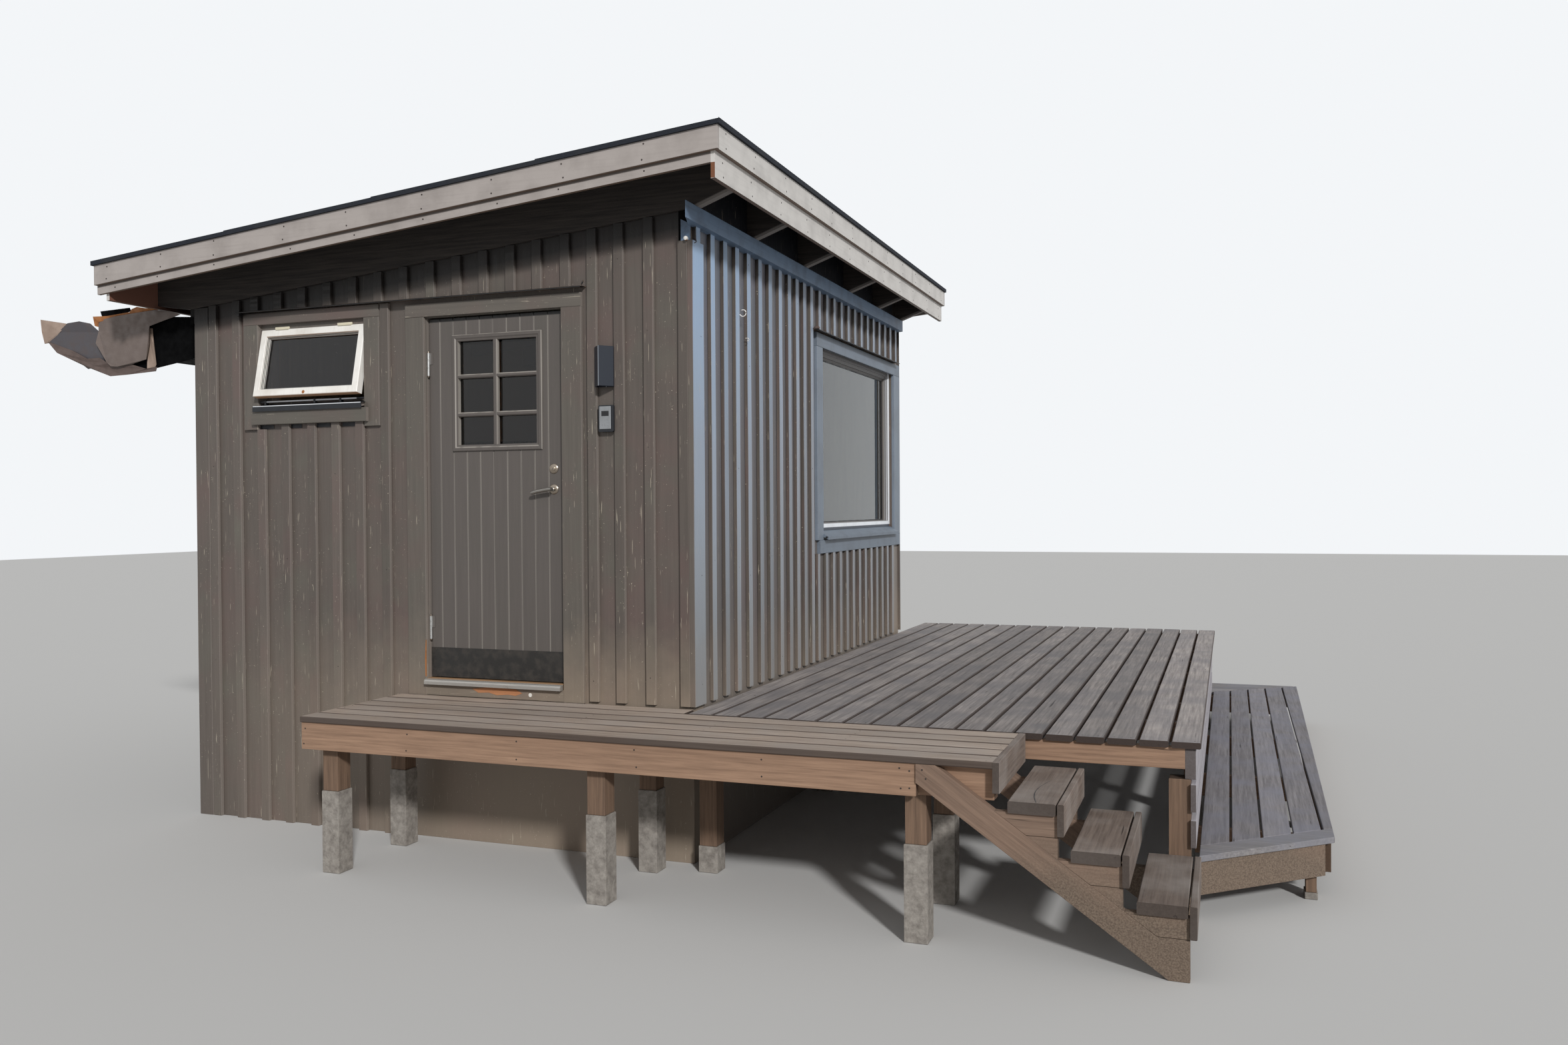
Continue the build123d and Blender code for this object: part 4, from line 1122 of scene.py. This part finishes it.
def door_foot():
    """A ribbed metal sill, a wooden sill behind it, and the worn board below."""
    low, high = box("threshold")
    split = 0.002
    top = high.z
    outline = [(low.y, low.z), (low.y, top - 0.012), (low.y + 0.006, top - 0.004)]
    for k in range(2):
        rib = low.y + 0.010 + k * 0.010
        outline += [(rib, top - 0.002), (rib + 0.003, top), (rib + 0.006, top), (rib + 0.009, top - 0.002)]
    outline += [(split, top), (split, low.z)]
    sill = Build()
    sill.prism(outline, 0, low.x, high.x, 0.0)
    sill.make("threshold_profile", ALUMINIUM, replaces=["threshold"])
    inner = Build()
    inner.plank((low.x, split, low.z), (high.x, high.y, top + 0.0025), 0, 0.001)
    inner.make("wooden_sill", SILL_WOOD)
    worn = Build()
    patch = [
        (-1.314, 0.046), (-1.275, 0.026), (-1.21, 0.030), (-1.16, 0.018), (-1.09, 0.024), (-1.045, 0.020),
        (-1.004, 0.034), (-1.04, 0.054), (-1.13, 0.058), (-1.22, 0.058),
    ]
    worn.prism(patch, 1, -0.0006, 0.002)
    worn.make("worn_patch", WORN_WOOD)
    streak = Build()
    left = low.x - 0.004
    streak.prism(
        [(left - 0.007, 0.10), (left, 0.10), (left, 0.30), (left - 0.003, 0.30), (left - 0.009, 0.2)], 1,
        -0.0006, 0.002,
    )
    streak.make("jamb_streak", RUST)
    fleck = Build()
    fleck.turned((-0.955, 0.001, 0.028), OUT, [(0, 0.011), (0.0014, 0.011), (0.0018, 0.007)], 7)
    fleck.make("pale_fleck", WHITE)


DOOR_HEAD = box("big_window_frame")[0].z + 1.201


def door_trims():
    """Upright boards with a head board across them, and the board under the threshold."""
    low, high = TRIM_LOW, TRIM_HIGH
    sill_low, sill_high = box("threshold")
    left, right = sill_low.x - 0.004, sill_high.x + 0.004
    upright, level = Build(), Build()
    for start, end in ((low.x, left), (right, high.x)):
        upright.board((start, 0, low.z), (end, BATTEN, DOOR_HEAD - HEAD_GAP), 2, 6)
    level.board((low.x, 0, DOOR_HEAD), (high.x, BATTEN, high.z), 0, 6)
    level.plank((left, 0.001, low.z), (right, BATTEN, sill_low.z), 0, TRIM_EDGE)
    upright.make("door_trim_sides", TRIM_UP, replaces=["door_trim"])
    level.make("door_trim_head", TRIM_LEVEL)


door_leaf()
door_glazing()
door_lock()
door_lever()
hinge_ends()
kick_plate_screws()
door_foot()
door_trims()

# Small window
SASH_TILT = radians(11.5)
SASH_THICKNESS, SASH_HEIGHT = 0.044, 0.395
SASH_BACK, SASH_TOP, SASH_SIDE = 0.071, 2.0409, 0.008
FRAME_LOW, FRAME_HIGH = box("small_window_frame")


def small_window():
    """A white sash hung at its head and tilted out, with its seal and a rusty stain."""
    pivot = Vector((0, SASH_BACK, SASH_TOP))
    tilt = Matrix.Translation(pivot) @ Matrix.Rotation(-SASH_TILT, 4, "X") @ Matrix.Translation(-pivot)
    low = Vector((FRAME_LOW.x + SASH_SIDE, SASH_BACK - SASH_THICKNESS, SASH_TOP - SASH_HEIGHT))
    high = Vector((FRAME_HIGH.x - SASH_SIDE, SASH_BACK, SASH_TOP))
    face, back = low.y, high.y
    sash = Build()
    edge = 0.040
    outer = [
        (0, back), (0, face + 0.003), (0.003, face), (edge - 0.002, face), (edge, face + 0.002), (edge, back)
    ]
    inner = [
        (edge, face + 0.010), (edge + 0.003, face + 0.010), (edge + 0.003, face + 0.017),
        (edge + 0.006, face + 0.017), (edge + 0.006, face + 0.024), (edge + 0.010, face + 0.024),
        (edge + 0.010, back - 0.004), (edge, back),
    ]
    sash.ring(low, high, 1, outer, tone=0.2)
    sash.ring(low, high, 1, inner, tone=-0.4)
    sash.turn(tilt)
    sash.make("sash_members", WHITE, replaces=["small_window_sash"])
    seal = Build()
    for inset, depth in ((0.0432, 0.0103), (0.0462, 0.0173), (0.0502, 0.0243)):
        start = face + depth
        seal.ring(
            low, high, 1,
            [(inset - 0.001, start), (inset + 0.0012, start), (inset + 0.0012, start + 0.003),
             (inset, start + 0.003)],
        )
    seal.turn(tilt)
    seal.make("sash_seal", GASKET)
    pane = Build()
    start = face + 0.032
    pane.plank(
        (low.x + 0.046, start, low.z + 0.046), (high.x - 0.046, start + 0.004, high.z - 0.046), 0, 0.0003,
        tone=0.0,
    )
    pane.turn(tilt)
    pane.make("sash_pane", GLASS_SMALL, replaces=["small_window_glass"])
    rust = Build()
    spot_x = low.x + 0.493 * (high.x - low.x)
    rust.turned(
        (spot_x, face + 0.0005, low.z + 0.014), OUT, [(0, 0.011), (0.0012, 0.010), (0.0016, 0.006)], 7
    )
    rust.turn(tilt)
    rust.make("sash_rust", RUST)


def small_window_fittings():
    """Pale hinges at the head, a black sheet over the sill, a black weather bar, and black plates under the
    apron as painted shade.
    """
    hinges = Build()
    head = FRAME_HIGH.z - 0.028
    for x in (-2.589, -2.15):
        hinges.plank((x - 0.05, 0.024, head), (x + 0.05, 0.0305, head + 0.012), 0, 0.001)
        hinges.turned((x - 0.045, 0.0235, head - 0.001), (1, 0, 0), [(0, 0.004), (0.09, 0.004)], 12)
    hinges.make("sash_hinges", PALE_METAL)
    drips = Build()
    sill = FRAME_LOW.z + 0.024
    outline = [
        (-0.036, sill - 0.028), (-0.036, sill + 0.002), (0.077, sill + 0.022), (0.077, sill + 0.020),
        (-0.034, sill), (-0.034, sill - 0.028),
    ]
    drips.prism(outline, 0, FRAME_LOW.x - 0.008, FRAME_HIGH.x + 0.01, 0.0)
    drips.plank(
        (FRAME_LOW.x + 0.004, 0.012, sill + 0.026), (FRAME_HIGH.x - 0.004, 0.03, sill + 0.036), 0, 0.002
    )
    for x in (-2.71, -2.36, -2.18):
        drips.plank((x, 0.008, sill + 0.014), (x + 0.012, 0.03, sill + 0.038), 2, 0.001)
    # Painted shade: black plates under the apron between the battens, where the gap lies in shadow.
    for k in range(4):
        left = FRAME_LOW.x - 0.02 + k * 0.2
        drips.plank((left, BATTEN - 0.003, 1.480), (left + 0.115, BATTEN - SEAT, 1.502), 0, 0.0005)
    drips.make("sash_drips", BLACK_METAL)
    pale = Build()
    pale.plank(
        (FRAME_LOW.x - 0.004, -0.0365, sill - 0.0005), (FRAME_HIGH.x + 0.006, -0.0335, sill + 0.0035), 0,
        0.0005,
    )
    pale.plank(
        (FRAME_LOW.x + 0.05, 0.0115, sill + 0.0262), (FRAME_HIGH.x - 0.06, 0.014, sill + 0.0345), 0, 0.0005
    )
    pale.make("sill_highlight", WHITE_SIDE, slot="bright_metal")


def small_window_boards():
    """Upright boards beside the opening, a head board over them and an apron under the sill."""
    upright, level = Build(), Build()
    low, high = SMALL_LOW, SMALL_HIGH
    head, foot, apron = FRAME_HIGH.z, FRAME_LOW.z, 0.078
    left, right = FRAME_LOW.x, FRAME_HIGH.x
    for start, end in ((low.x, left), (right, high.x)):
        upright.board((start, 0, low.z), (end, BATTEN, head - HEAD_GAP), 2, 5)
    level.board((low.x, 0, head), (high.x, BATTEN, high.z), 0, 5)
    level.board((left - 0.03, -BATTEN, foot - apron), (right + 0.03, 0, foot), 0, 5)
    level.plank((left, 0, foot - apron), (right, BATTEN, foot), 0, 0.001)
    upright.make("small_window_sides", TRIM_UP, replaces=["small_window_trim"])
    level.make("small_window_boards", TRIM_LEVEL)


def large_window():
    """A white outer frame with brown rebates towards the glass and a dark grey foot, darkened as painted
    shade.
    """
    low, high = box("big_window_frame")
    pane_low, pane_high = box("big_window_glass")
    face, back = high.x, low.x
    rail, ledge = 0.016, 0.030
    white_low = Vector((0, low.y, low.z + rail))
    white = Build()
    white.ring(
        white_low, high, 0, [(0, back), (0, face - 0.002), (0.002, face), (ledge, face), (ledge, back)], 0.9
    )
    white.make("large_frame_white", WHITE_SIDE, replaces=["big_window_frame"])
    brown = Build()
    inner_low = Vector((0, low.y + ledge, white_low.z + ledge * 0.9))
    inner_high = Vector((0, high.y - ledge, high.z - ledge))
    reach = pane_low.y - inner_low.y
    share = (pane_low.z - inner_low.z) / reach
    steps = [
        (0, back), (0, face - 0.006), (reach * 0.4, face - 0.008), (reach * 0.4, face - 0.016),
        (reach * 0.75, face - 0.018), (reach * 0.75, face - 0.030), (reach, face - 0.034), (reach, back),
    ]
    brown.ring(inner_low, inner_high, 0, steps, share)
    brown.make("large_frame_rebates", REBATE)
    seal = Build()
    glass = pane_high.x
    seal.ring(
        pane_low, pane_high, 0,
        [(-0.001, glass), (0.006, glass), (0.006, glass + 0.004), (-0.001, glass + 0.004)],
    )
    seal.make("large_seal", GASKET)
    foot = Build()
    foot.plank((back, low.y, low.z), (face + 0.004, high.y, white_low.z), 1, 0.001)
    foot.make("large_frame_foot", SHADED_FOOT_PAINT)
    spot_of_rust = Build()
    spot_of_rust.turned(
        (face + 0.004, high.y - 0.02, low.z + 0.008), (1, 0, 0), [(0, 0.007), (0.001, 0.005)], 7
    )
    spot_of_rust.make("foot_rust", RUST)


def large_window_boards():
    """Boards round the large window, and a knob at the near end of its sill."""
    low, high = box("big_window_frame")
    sill_low, sill_high = box("big_window_sill")
    sides, level = Build(), Build()
    near, far, seat = BIG_LOW.y, BIG_HIGH.y, -BATTEN
    for start, end in ((near, low.y), (high.y, far)):
        sides.board((seat, start, sill_low.z), (0, end, DOOR_HEAD - HEAD_GAP), 2, 5)
    level.board((seat, near, DOOR_HEAD), (0, far, BIG_HIGH.z), 1, 5)
    level.board((seat, near + 0.048, BIG_LOW.z), (0, far, sill_low.z - 0.001), 1, 5)
    sides.make("large_window_sides", TRIM_SIDE_UP, replaces=["big_window_trim"])
    level.make("large_window_boards", TRIM_SLATE)
    knob = Build()
    knob.turned(
        (sill_high.x - 0.01, low.y - 0.012, sill_low.z + 0.016), (0, 1, 0), [(0, 0.006), (0.02, 0.008)]
    )
    knob.make("sill_knob", GASKET)


small_window()
small_window_fittings()
small_window_boards()
large_window()
large_window_boards()


# Drip caps, fascias and felt
def folded_cap(start, end, top, foot, out, back):
    """A thin cap with a turned-down lip; out and back turn a depth into a point."""
    count = 24
    rings = []
    for k in range(count + 1):
        along = start + (end - start) * k / count
        lift, dent = abs(wobble(0.0012)), abs(wobble(0.0015))
        high, lip = top - 0.001 - lift, out - 0.001 - dent
        outline = (
            (-back, high), (lip - 0.004, high - 0.005), (lip, high - 0.008), (lip, foot),
            (lip - 0.002, foot), (lip - 0.0025, high - 0.009), (lip - 0.006, high - 0.0072),
            (-back, high - 0.003),
        )
        rings.append([(along, depth, z) for depth, z in outline])
    return rings


def drip_caps():
    """Folded metal caps over the door wall's openings and over the large window."""
    low, high = CAP_LOW, CAP_HIGH
    reach, right = 0.042, -0.614
    front = Build()
    rings = folded_cap(low.x, right, high.z, low.z, reach, BATTEN)
    front.tube([[(along, -depth, z) for along, depth, z in ring] for ring in rings], 0.0)
    front.turned(
        (right, -reach + 0.012, high.z - 0.004), (0.6, 0, 1), [(0, 0.003), (0.02, 0.004), (0.03, 0.002)], 8
    )
    front.plank((low.x, -0.03, low.z - 0.014), (low.x + 0.02, BATTEN - SEAT, low.z), 0, 0.001)
    front.make("front_cap", CAP_METAL, replaces=["drip_caps"])
    side = Build()
    window_low, window_high = box("big_window_frame")
    near, far = window_low.y - 0.192, window_high.y + 0.036
    rings = folded_cap(near, far, high.z, low.z, reach, BATTEN)
    side.tube([[(depth, along, z) for along, depth, z in ring] for ring in rings], 0.0)
    side.make("side_cap", CAP_METAL)
    curl = Build()
    path = [
        (0, near, high.z - 0.004), (0.018, near - 0.004, high.z + 0.002), (0.034, near, high.z + 0.004),
        (0.042, near + 0.004, high.z - 0.004),
    ]
    curl.swept(path, [0.003, 0.006, 0.006, 0.003], 10, 1.6)
    curl.make("rusty_curl", SHEET_BROWN, slot="raw_wood")


def felt_sheets():
    """Wide sheets laid along the eaves, each lapped over the lower one."""
    low, high = FELT_LOW, FELT_HIGH
    build = Build()
    laps, step, count = 4, 0.004, 16
    run = high.x - low.x
    outline = [(low.x, roof_height(low.x))]
    for k in range(laps):
        start, end = low.x + run * k / laps, low.x + run * (k + 1) / laps
        outline += [
            (start, roof_height(start, -FELT_THICKNESS)),
            (end - 0.001, roof_height(end, step - FELT_THICKNESS)),
        ]
    outline += [(high.x, roof_height(high.x, -FELT_THICKNESS)), (high.x, roof_height(high.x))]
    rings = []
    for k in range(count + 1):
        y = low.y + (high.y - low.y) * k / count
        rings.append([(x, y, z) for x, z in outline])
    build.tube(rings, 0.0)
    build.make("felt_sheets", FELT, replaces=["roof_felt"])


def fascia_marks():
    """Nail heads along the fascias, the seam in the long eave board and bare end grain."""
    nails = Build()
    low, high = box("gable_fascias_upper")
    front, under = low.y, box("gable_fascias_lower")[0].y
    places, x = [], low.x + 0.1
    while x < high.x:
        places += [
            (x, front, roof_height(x, 0.02 + wobble(0.006))), (x + wobble(0.01), front, roof_height(x, 0.09))
        ]
        places.append((x + wobble(0.05), under, roof_height(x, 0.137)))
        x += 0.43 + wobble(0.05)
    nails.dots(places, OUT, 0.0045)
    low, high = box("eave_fascias_upper")
    outer, inner = high.x, box("eave_fascias_lower")[1].x
    top = roof_height(outer)
    places, y = [], low.y + 0.08
    while y < high.y:
        places += [(outer, y, top - 0.022 + wobble(0.006)), (outer, y + wobble(0.02), top - 0.088)]
        places += [(inner, y + wobble(0.03), top - 0.15), (inner, y + wobble(0.02), top - 0.215)]
        y += 0.42 + wobble(0.05)
    nails.dots(places, (1, 0, 0), 0.0045)
    nails.make("fascia_nails", NAIL)
    seam = Build()
    seam.plank((outer - 0.001, 3.275, top - 0.111), (outer + 0.0004, 3.278, top - 0.001), 2, 0.0001)
    seam.make("fascia_seam", NAIL)
    grain = Build()
    low, high = box("eave_fascias_lower")
    bottom = roof_height(high.x, 0.237)
    grain.plank(
        (high.x - 0.0215, low.y - 0.0008, bottom + 0.001), (high.x - 0.0005, low.y, bottom + 0.072), 2, 0.0002
    )
    grain.make("fascia_end_grain", END_GRAIN)


def plates():
    """Plates along the tops of both side walls; the tall side's runs on past the corner to a slanting end."""
    low, high = box("eave_plates")
    sides = (
        ("plate_board_tall", PLATE_PAINT, (-BATTEN, 0), (high.x, low.y)),
        # The low plate takes the near-black painted shade of the eave.
        ("plate_board_low", SHADED_EAVE_WOOD, (low.x, 0), (BATTEN - WIDTH, 0)),
    )
    for name, material, left, right in sides:
        build = Build()
        rings = []
        for x, start in (left, right):
            foot, head = roof_height(x, PLATE_DROP), roof_height(x, RAFTER_DROP) - 0.0005
            rings.append([(x, start, foot), (x, high.y, foot), (x, high.y, head), (x, start, head)])
        build.tube(rings, 0.0)
        build.make(name, material, replaces=["eave_plates"], bevel=0.002)


drip_caps()
felt_sheets()
plates()
fascia_marks()


# Small things on the walls
def key_box_face():
    """A grey face with a dark display and rows of keys."""
    low, high = box("key_box")
    face, centre = low.y, (low.x + high.x) / 2 - 0.004
    half, bottom, top = 0.033, low.z + 0.014, high.z - 0.006
    plate = Build()
    plate.plank((centre - half, face - 0.004, bottom), (centre + half, face + 0.001, top), 2, 0.003)
    plate.make("key_box_plate", KEY_FACE, bevel=0.001)
    display = Build()
    head = top - 0.024
    display.plank(
        (centre - 0.02, face - 0.0046, head - 0.026), (centre + 0.022, face - 0.0035, head), 2, 0.0004
    )
    display.make("key_box_display", GASKET)
    keys = Build()
    for row in range(3):
        for column in range(3):
            x, z = centre - 0.014 + column * 0.014, head - 0.042 - row * 0.014
            keys.plank(
                (x - 0.005, face - 0.0046, z - 0.004), (x + 0.005, face - 0.0035, z + 0.004), 2, 0.0008
            )
    keys.make("key_box_keys", KEY_FACE)


def hooks():
    """Two small hooks and a white knob on the corner and the tall wall."""
    wire = Build()
    centre, radius = Vector((0.020, 0.615, 2.069)), 0.018
    ring = [(-0.002, centre.y, centre.z - 0.008)]
    for k in range(12):
        angle = radians(205 + 270 * k / 11)
        ring.append(centre + Vector((radius * cos(angle), 0, radius * sin(angle))))
    wire.swept(ring, [0.0028], 8)
    small = [
        (-0.002, 0.704, 1.945), (0.012, 0.704, 1.945), (0.020, 0.702, 1.937), (0.018, 0.699, 1.928),
        (0.010, 0.699, 1.930),
    ]
    wire.swept(small, [0.002], 8)
    wire.make("open_hook", WHITE, smooth=True)
    dark = Build()
    path = [(0.002, 0.012, 2.352), (0.016, 0.006, 2.346), (0.022, 0, 2.333), (0.012, -0.004, 2.326)]
    dark.swept(path, [0.0025], 8)
    dark.make("corner_hook", NAIL, smooth=True)
    knob = Build()
    profile = [(0, 0.008), (0.006, 0.006), (0.012, 0.011), (0.02, 0.010), (0.023, 0.004)]
    knob.turned((-0.03, 0.001, 2.352), OUT, profile, 14)
    knob.make("white_knob", WHITE, smooth=True)


def siding_nails():
    """Nail heads in the battens of the two walls that show."""
    nails = Build()
    places = []
    for left in FULL_LEFT + FULL_RIGHT:
        top = 2.35 if left in FULL_RIGHT else SMALL_LOW.z
        z = 0.12 + wobble(0.03)
        while z < top:
            places.append((left + BATTEN_WIDTH / 2 + wobble(0.006), 0.0008, z))
            z += 0.56 + wobble(0.05)
    nails.dots(places, OUT, 0.003, 0.0008)
    places = []
    for y in (0.065, *TALL_NEAR):
        z = 0.14 + wobble(0.03)
        while z < 2.38:
            places.append((-0.0008, y + BATTEN_WIDTH / 2 + wobble(0.006), z))
            z += 0.56 + wobble(0.05)
    nails.dots(places, (1, 0, 0), 0.003, 0.0008)
    nails.make("siding_nails", NAIL)


def deck_screws():
    """Two screws for each board at each joist, and nails in the fascia and stair."""
    screws = Build()
    low, high = box("main_deck_boards")
    places = []
    edge = high.x
    joists, first, last = 9, low.y + 0.0425, high.y - 0.0425
    while edge - BOARD_WIDTH > low.x - 0.02:
        for k in range(joists):
            y = first + (last - first) * k / (joists - 1)
            for inset in (0.025, 0.095):
                places.append((edge - inset + wobble(0.003), y + wobble(0.008), high.z - 0.0012))
        edge -= DECK_PITCH
    joists, (first, last) = 6, WALK_JOISTS
    for k in range(5):
        y = WALK_LOW.y + k * WALK_PITCH
        for j in range(joists):
            x = first + (last - first) * j / (joists - 1)
            for inset in (0.025, 0.095):
                places.append((x + wobble(0.008), y + inset + wobble(0.003), WALK_HIGH.z - 0.0012))
    screws.dots(places, (0, 0, 1), 0.0038, 0.0006)
    front = box("walkway_fascias")[0].y
    places = []
    for k in range(6):
        x = WALK_JOISTS[0] + k * 0.6
        places += [(x, front, -0.055 + wobble(0.006)), (x + wobble(0.01), front, -0.13 + wobble(0.006))]
    for x, z in ((1.345, -0.05), (1.36, -0.085), (1.29, -0.06), (1.29, -0.13)):
        places.append((x, STRINGER_LOW.y if x > STRINGER_LOW.x else front, z))
    screws.dots(places, OUT, 0.004, 0.001)
    screws.make("deck_screws", NAIL)


# Bent sheet under the low eave: each panel's distance before the wall, lean and outline, which holds
# (distance left of the box's edge, height over the deck)
SHEETS = (
    ("sheet_panel", SHEET, -0.034, 0.02, (
        (0.433, 2.170), (0.273, 2.188), (-0.017, 2.206), (-0.137, 2.187), (-0.212, 2.167), (-0.082, 2.140),
        (0.028, 2.112), (0.038, 2.010), (0.048, 1.915), (0.168, 1.893), (0.278, 1.882), (0.333, 1.887),
        (0.370, 1.910), (0.452, 2.032), (0.440, 2.102),
    )),
    ("sheet_torn_edge", RUST, -0.030, 0.02, (
        (0.478, 2.195), (0.368, 2.192), (0.183, 2.205), (0.178, 2.224), (0.133, 2.234), (0.068, 2.222),
        (-0.002, 2.214), (-0.037, 2.206), (0.088, 2.188), (0.273, 2.176), (0.428, 2.160), (0.438, 2.130),
        (0.468, 2.138),
    )),
    ("sheet_pale_corner", SHEET_PALE, -0.016, -0.10, (
        (0.930, 2.205), (0.700, 2.166), (0.765, 2.122), (0.862, 2.062), (0.915, 2.056), (0.925, 2.128),
    )),
    ("sheet_wing", SHEET_DARK, -0.012, -0.08, (
        (0.876, 2.070), (0.787, 2.120), (0.695, 2.168), (0.594, 2.174), (0.514, 2.157), (0.450, 2.102),
        (0.425, 2.018), (0.400, 1.905), (0.560, 1.884), (0.674, 1.955), (0.790, 2.010),
    )),
    ("sheet_fold", SHEET_BROWN, -0.022, 0.03, (
        (0.892, 2.070), (0.674, 2.001), (0.551, 1.945), (0.440, 1.945), (0.365, 1.905), (0.190, 1.895),
        (0.070, 1.862), (-0.010, 1.870), (-0.010, 1.843), (0.226, 1.833), (0.347, 1.828), (0.561, 1.897),
        (0.799, 1.993),
    )),
    ("sheet_strip", SHEET_PALE, -0.014, 0.0, (
        (0.066, 2.103), (0.032, 2.102), (0.014, 2.008), (-0.002, 1.884), (0.026, 1.852), (0.066, 1.860),
    )),
    # Painted shade: near-black pieces in the sheet's hollow and behind the panel.
    ("sheet_hollow", DARK_VOID, -0.008, 0.0, (
        (0.443, 2.228), (0.208, 2.236), (0.194, 2.214), (0.396, 2.186), (0.433, 2.199),
    )),
    ("sheet_shadow_backing", DARK_VOID, -0.0045, 0.0, (
        (0.400, 2.150), (0.020, 2.172), (-0.280, 2.153), (-0.276, 1.905), (0.000, 1.866), (0.200, 1.858),
        (0.380, 1.890),
    )),
)


def bent_sheet():
    """A torn sheet: a main panel, a dark wing with a pale corner, a lower fold and a loose strip, with
    near-black painted shade in its hollow and behind it.
    """
    edge = box("eave_box")[0].x
    thick = 0.0025
    for name, material, base, lean, outline in SHEETS:
        build = Build()
        middle = sum(z for _, z in outline) / len(outline)
        rings = []
        for depth in (0, thick):
            ring = []
            for k, (out, z) in enumerate(outline):
                y = base + lean * (z - middle) * 1.5 + 0.006 * sin(9 * out + 2 * k)
                ring.append((edge - out, min(y, -0.003) + depth, z))
            rings.append(ring)
        build.tube(rings, 0.0)
        replaced = ["bent_sheet"] if name == "sheet_panel" else []
        build.make(name, material, replaces=replaced)


key_box_face()
hooks()
siding_nails()
deck_screws()
bent_sheet()


# Floor, light and camera
def stage():
    """A pale floor under a pale, even sky."""
    bpy.ops.mesh.primitive_plane_add(size=80, location=(0, 0, cad_low.z - 0.001))
    floor = bpy.context.object
    floor.name = "studio_floor"
    look = Look("studio_floor", roughness=0.9, specular=0.1)
    look.color = (206, 205, 203)
    floor.data.materials.append(look.done())
    world = bpy.data.worlds.new("studio")
    bpy.context.scene.world = world
    world.use_nodes = True
    tree = world.node_tree
    light = tree.nodes["Background"]
    light.inputs["Color"].default_value = (0.97, 0.985, 1, 1)
    light.inputs["Strength"].default_value = 0.40
    seen = tree.nodes.new("ShaderNodeBackground")
    seen.inputs["Color"].default_value = (0.90, 0.92, 0.94, 1)
    seen.inputs["Strength"].default_value = 1.0
    path = tree.nodes.new("ShaderNodeLightPath")
    share = path.outputs["Is Camera Ray"]
    for other in ("Is Glossy Ray", "Is Transmission Ray"):
        either = tree.nodes.new("ShaderNodeMath")
        either.operation = "MAXIMUM"
        tree.links.new(share, either.inputs[0])
        tree.links.new(path.outputs[other], either.inputs[1])
        share = either.outputs[0]
    blend = tree.nodes.new("ShaderNodeMixShader")
    tree.links.new(share, blend.inputs[0])
    tree.links.new(light.outputs[0], blend.inputs[1])
    tree.links.new(seen.outputs[0], blend.inputs[2])
    tree.links.new(blend.outputs[0], tree.nodes["World Output"].inputs["Surface"])


def lamps():
    """One large soft sun from the front right."""
    data = bpy.data.lights.new("key", "SUN")
    data.energy = 2.5
    data.angle = radians(5)
    key = bpy.data.objects.new("key", data)
    bpy.context.scene.collection.objects.link(key)
    key.rotation_mode = "QUATERNION"
    key.rotation_quaternion = Vector((0.80, -1.0, 0.66)).to_track_quat("Z", "Y")


FRAME_WIDTH = 2353
FOCAL_PIXELS = 1823.6
SENSOR = 36.0
CAMERA_PLACE = Vector((2.509, -5.540, 1.009))
CAMERA_YAW, CAMERA_PITCH, CAMERA_ROLL = radians(20.15), radians(-0.71), radians(0.36)


def camera():
    """The photograph's viewpoint, fitted to its straight edges."""
    data = bpy.data.cameras.new("camera")
    data.sensor_width = SENSOR
    data.lens = SENSOR * FOCAL_PIXELS / FRAME_WIDTH
    view = bpy.data.objects.new("camera", data)
    bpy.context.scene.collection.objects.link(view)
    turn = (
        Matrix.Rotation(CAMERA_YAW, 3, "Z")
        @ Matrix.Rotation(CAMERA_PITCH, 3, "X")
        @ Matrix.Rotation(CAMERA_ROLL, 3, "Y")
    )
    right, forward, up = turn.col[0], turn.col[1], turn.col[2]
    basis = Matrix((right, up, -forward)).transposed()
    view.matrix_world = Matrix.Translation(CORNER + CAMERA_PLACE) @ basis.to_4x4()
    bpy.context.scene.camera = view


stage()
lamps()
camera()
bpy.context.scene.view_settings.view_transform = "Standard"
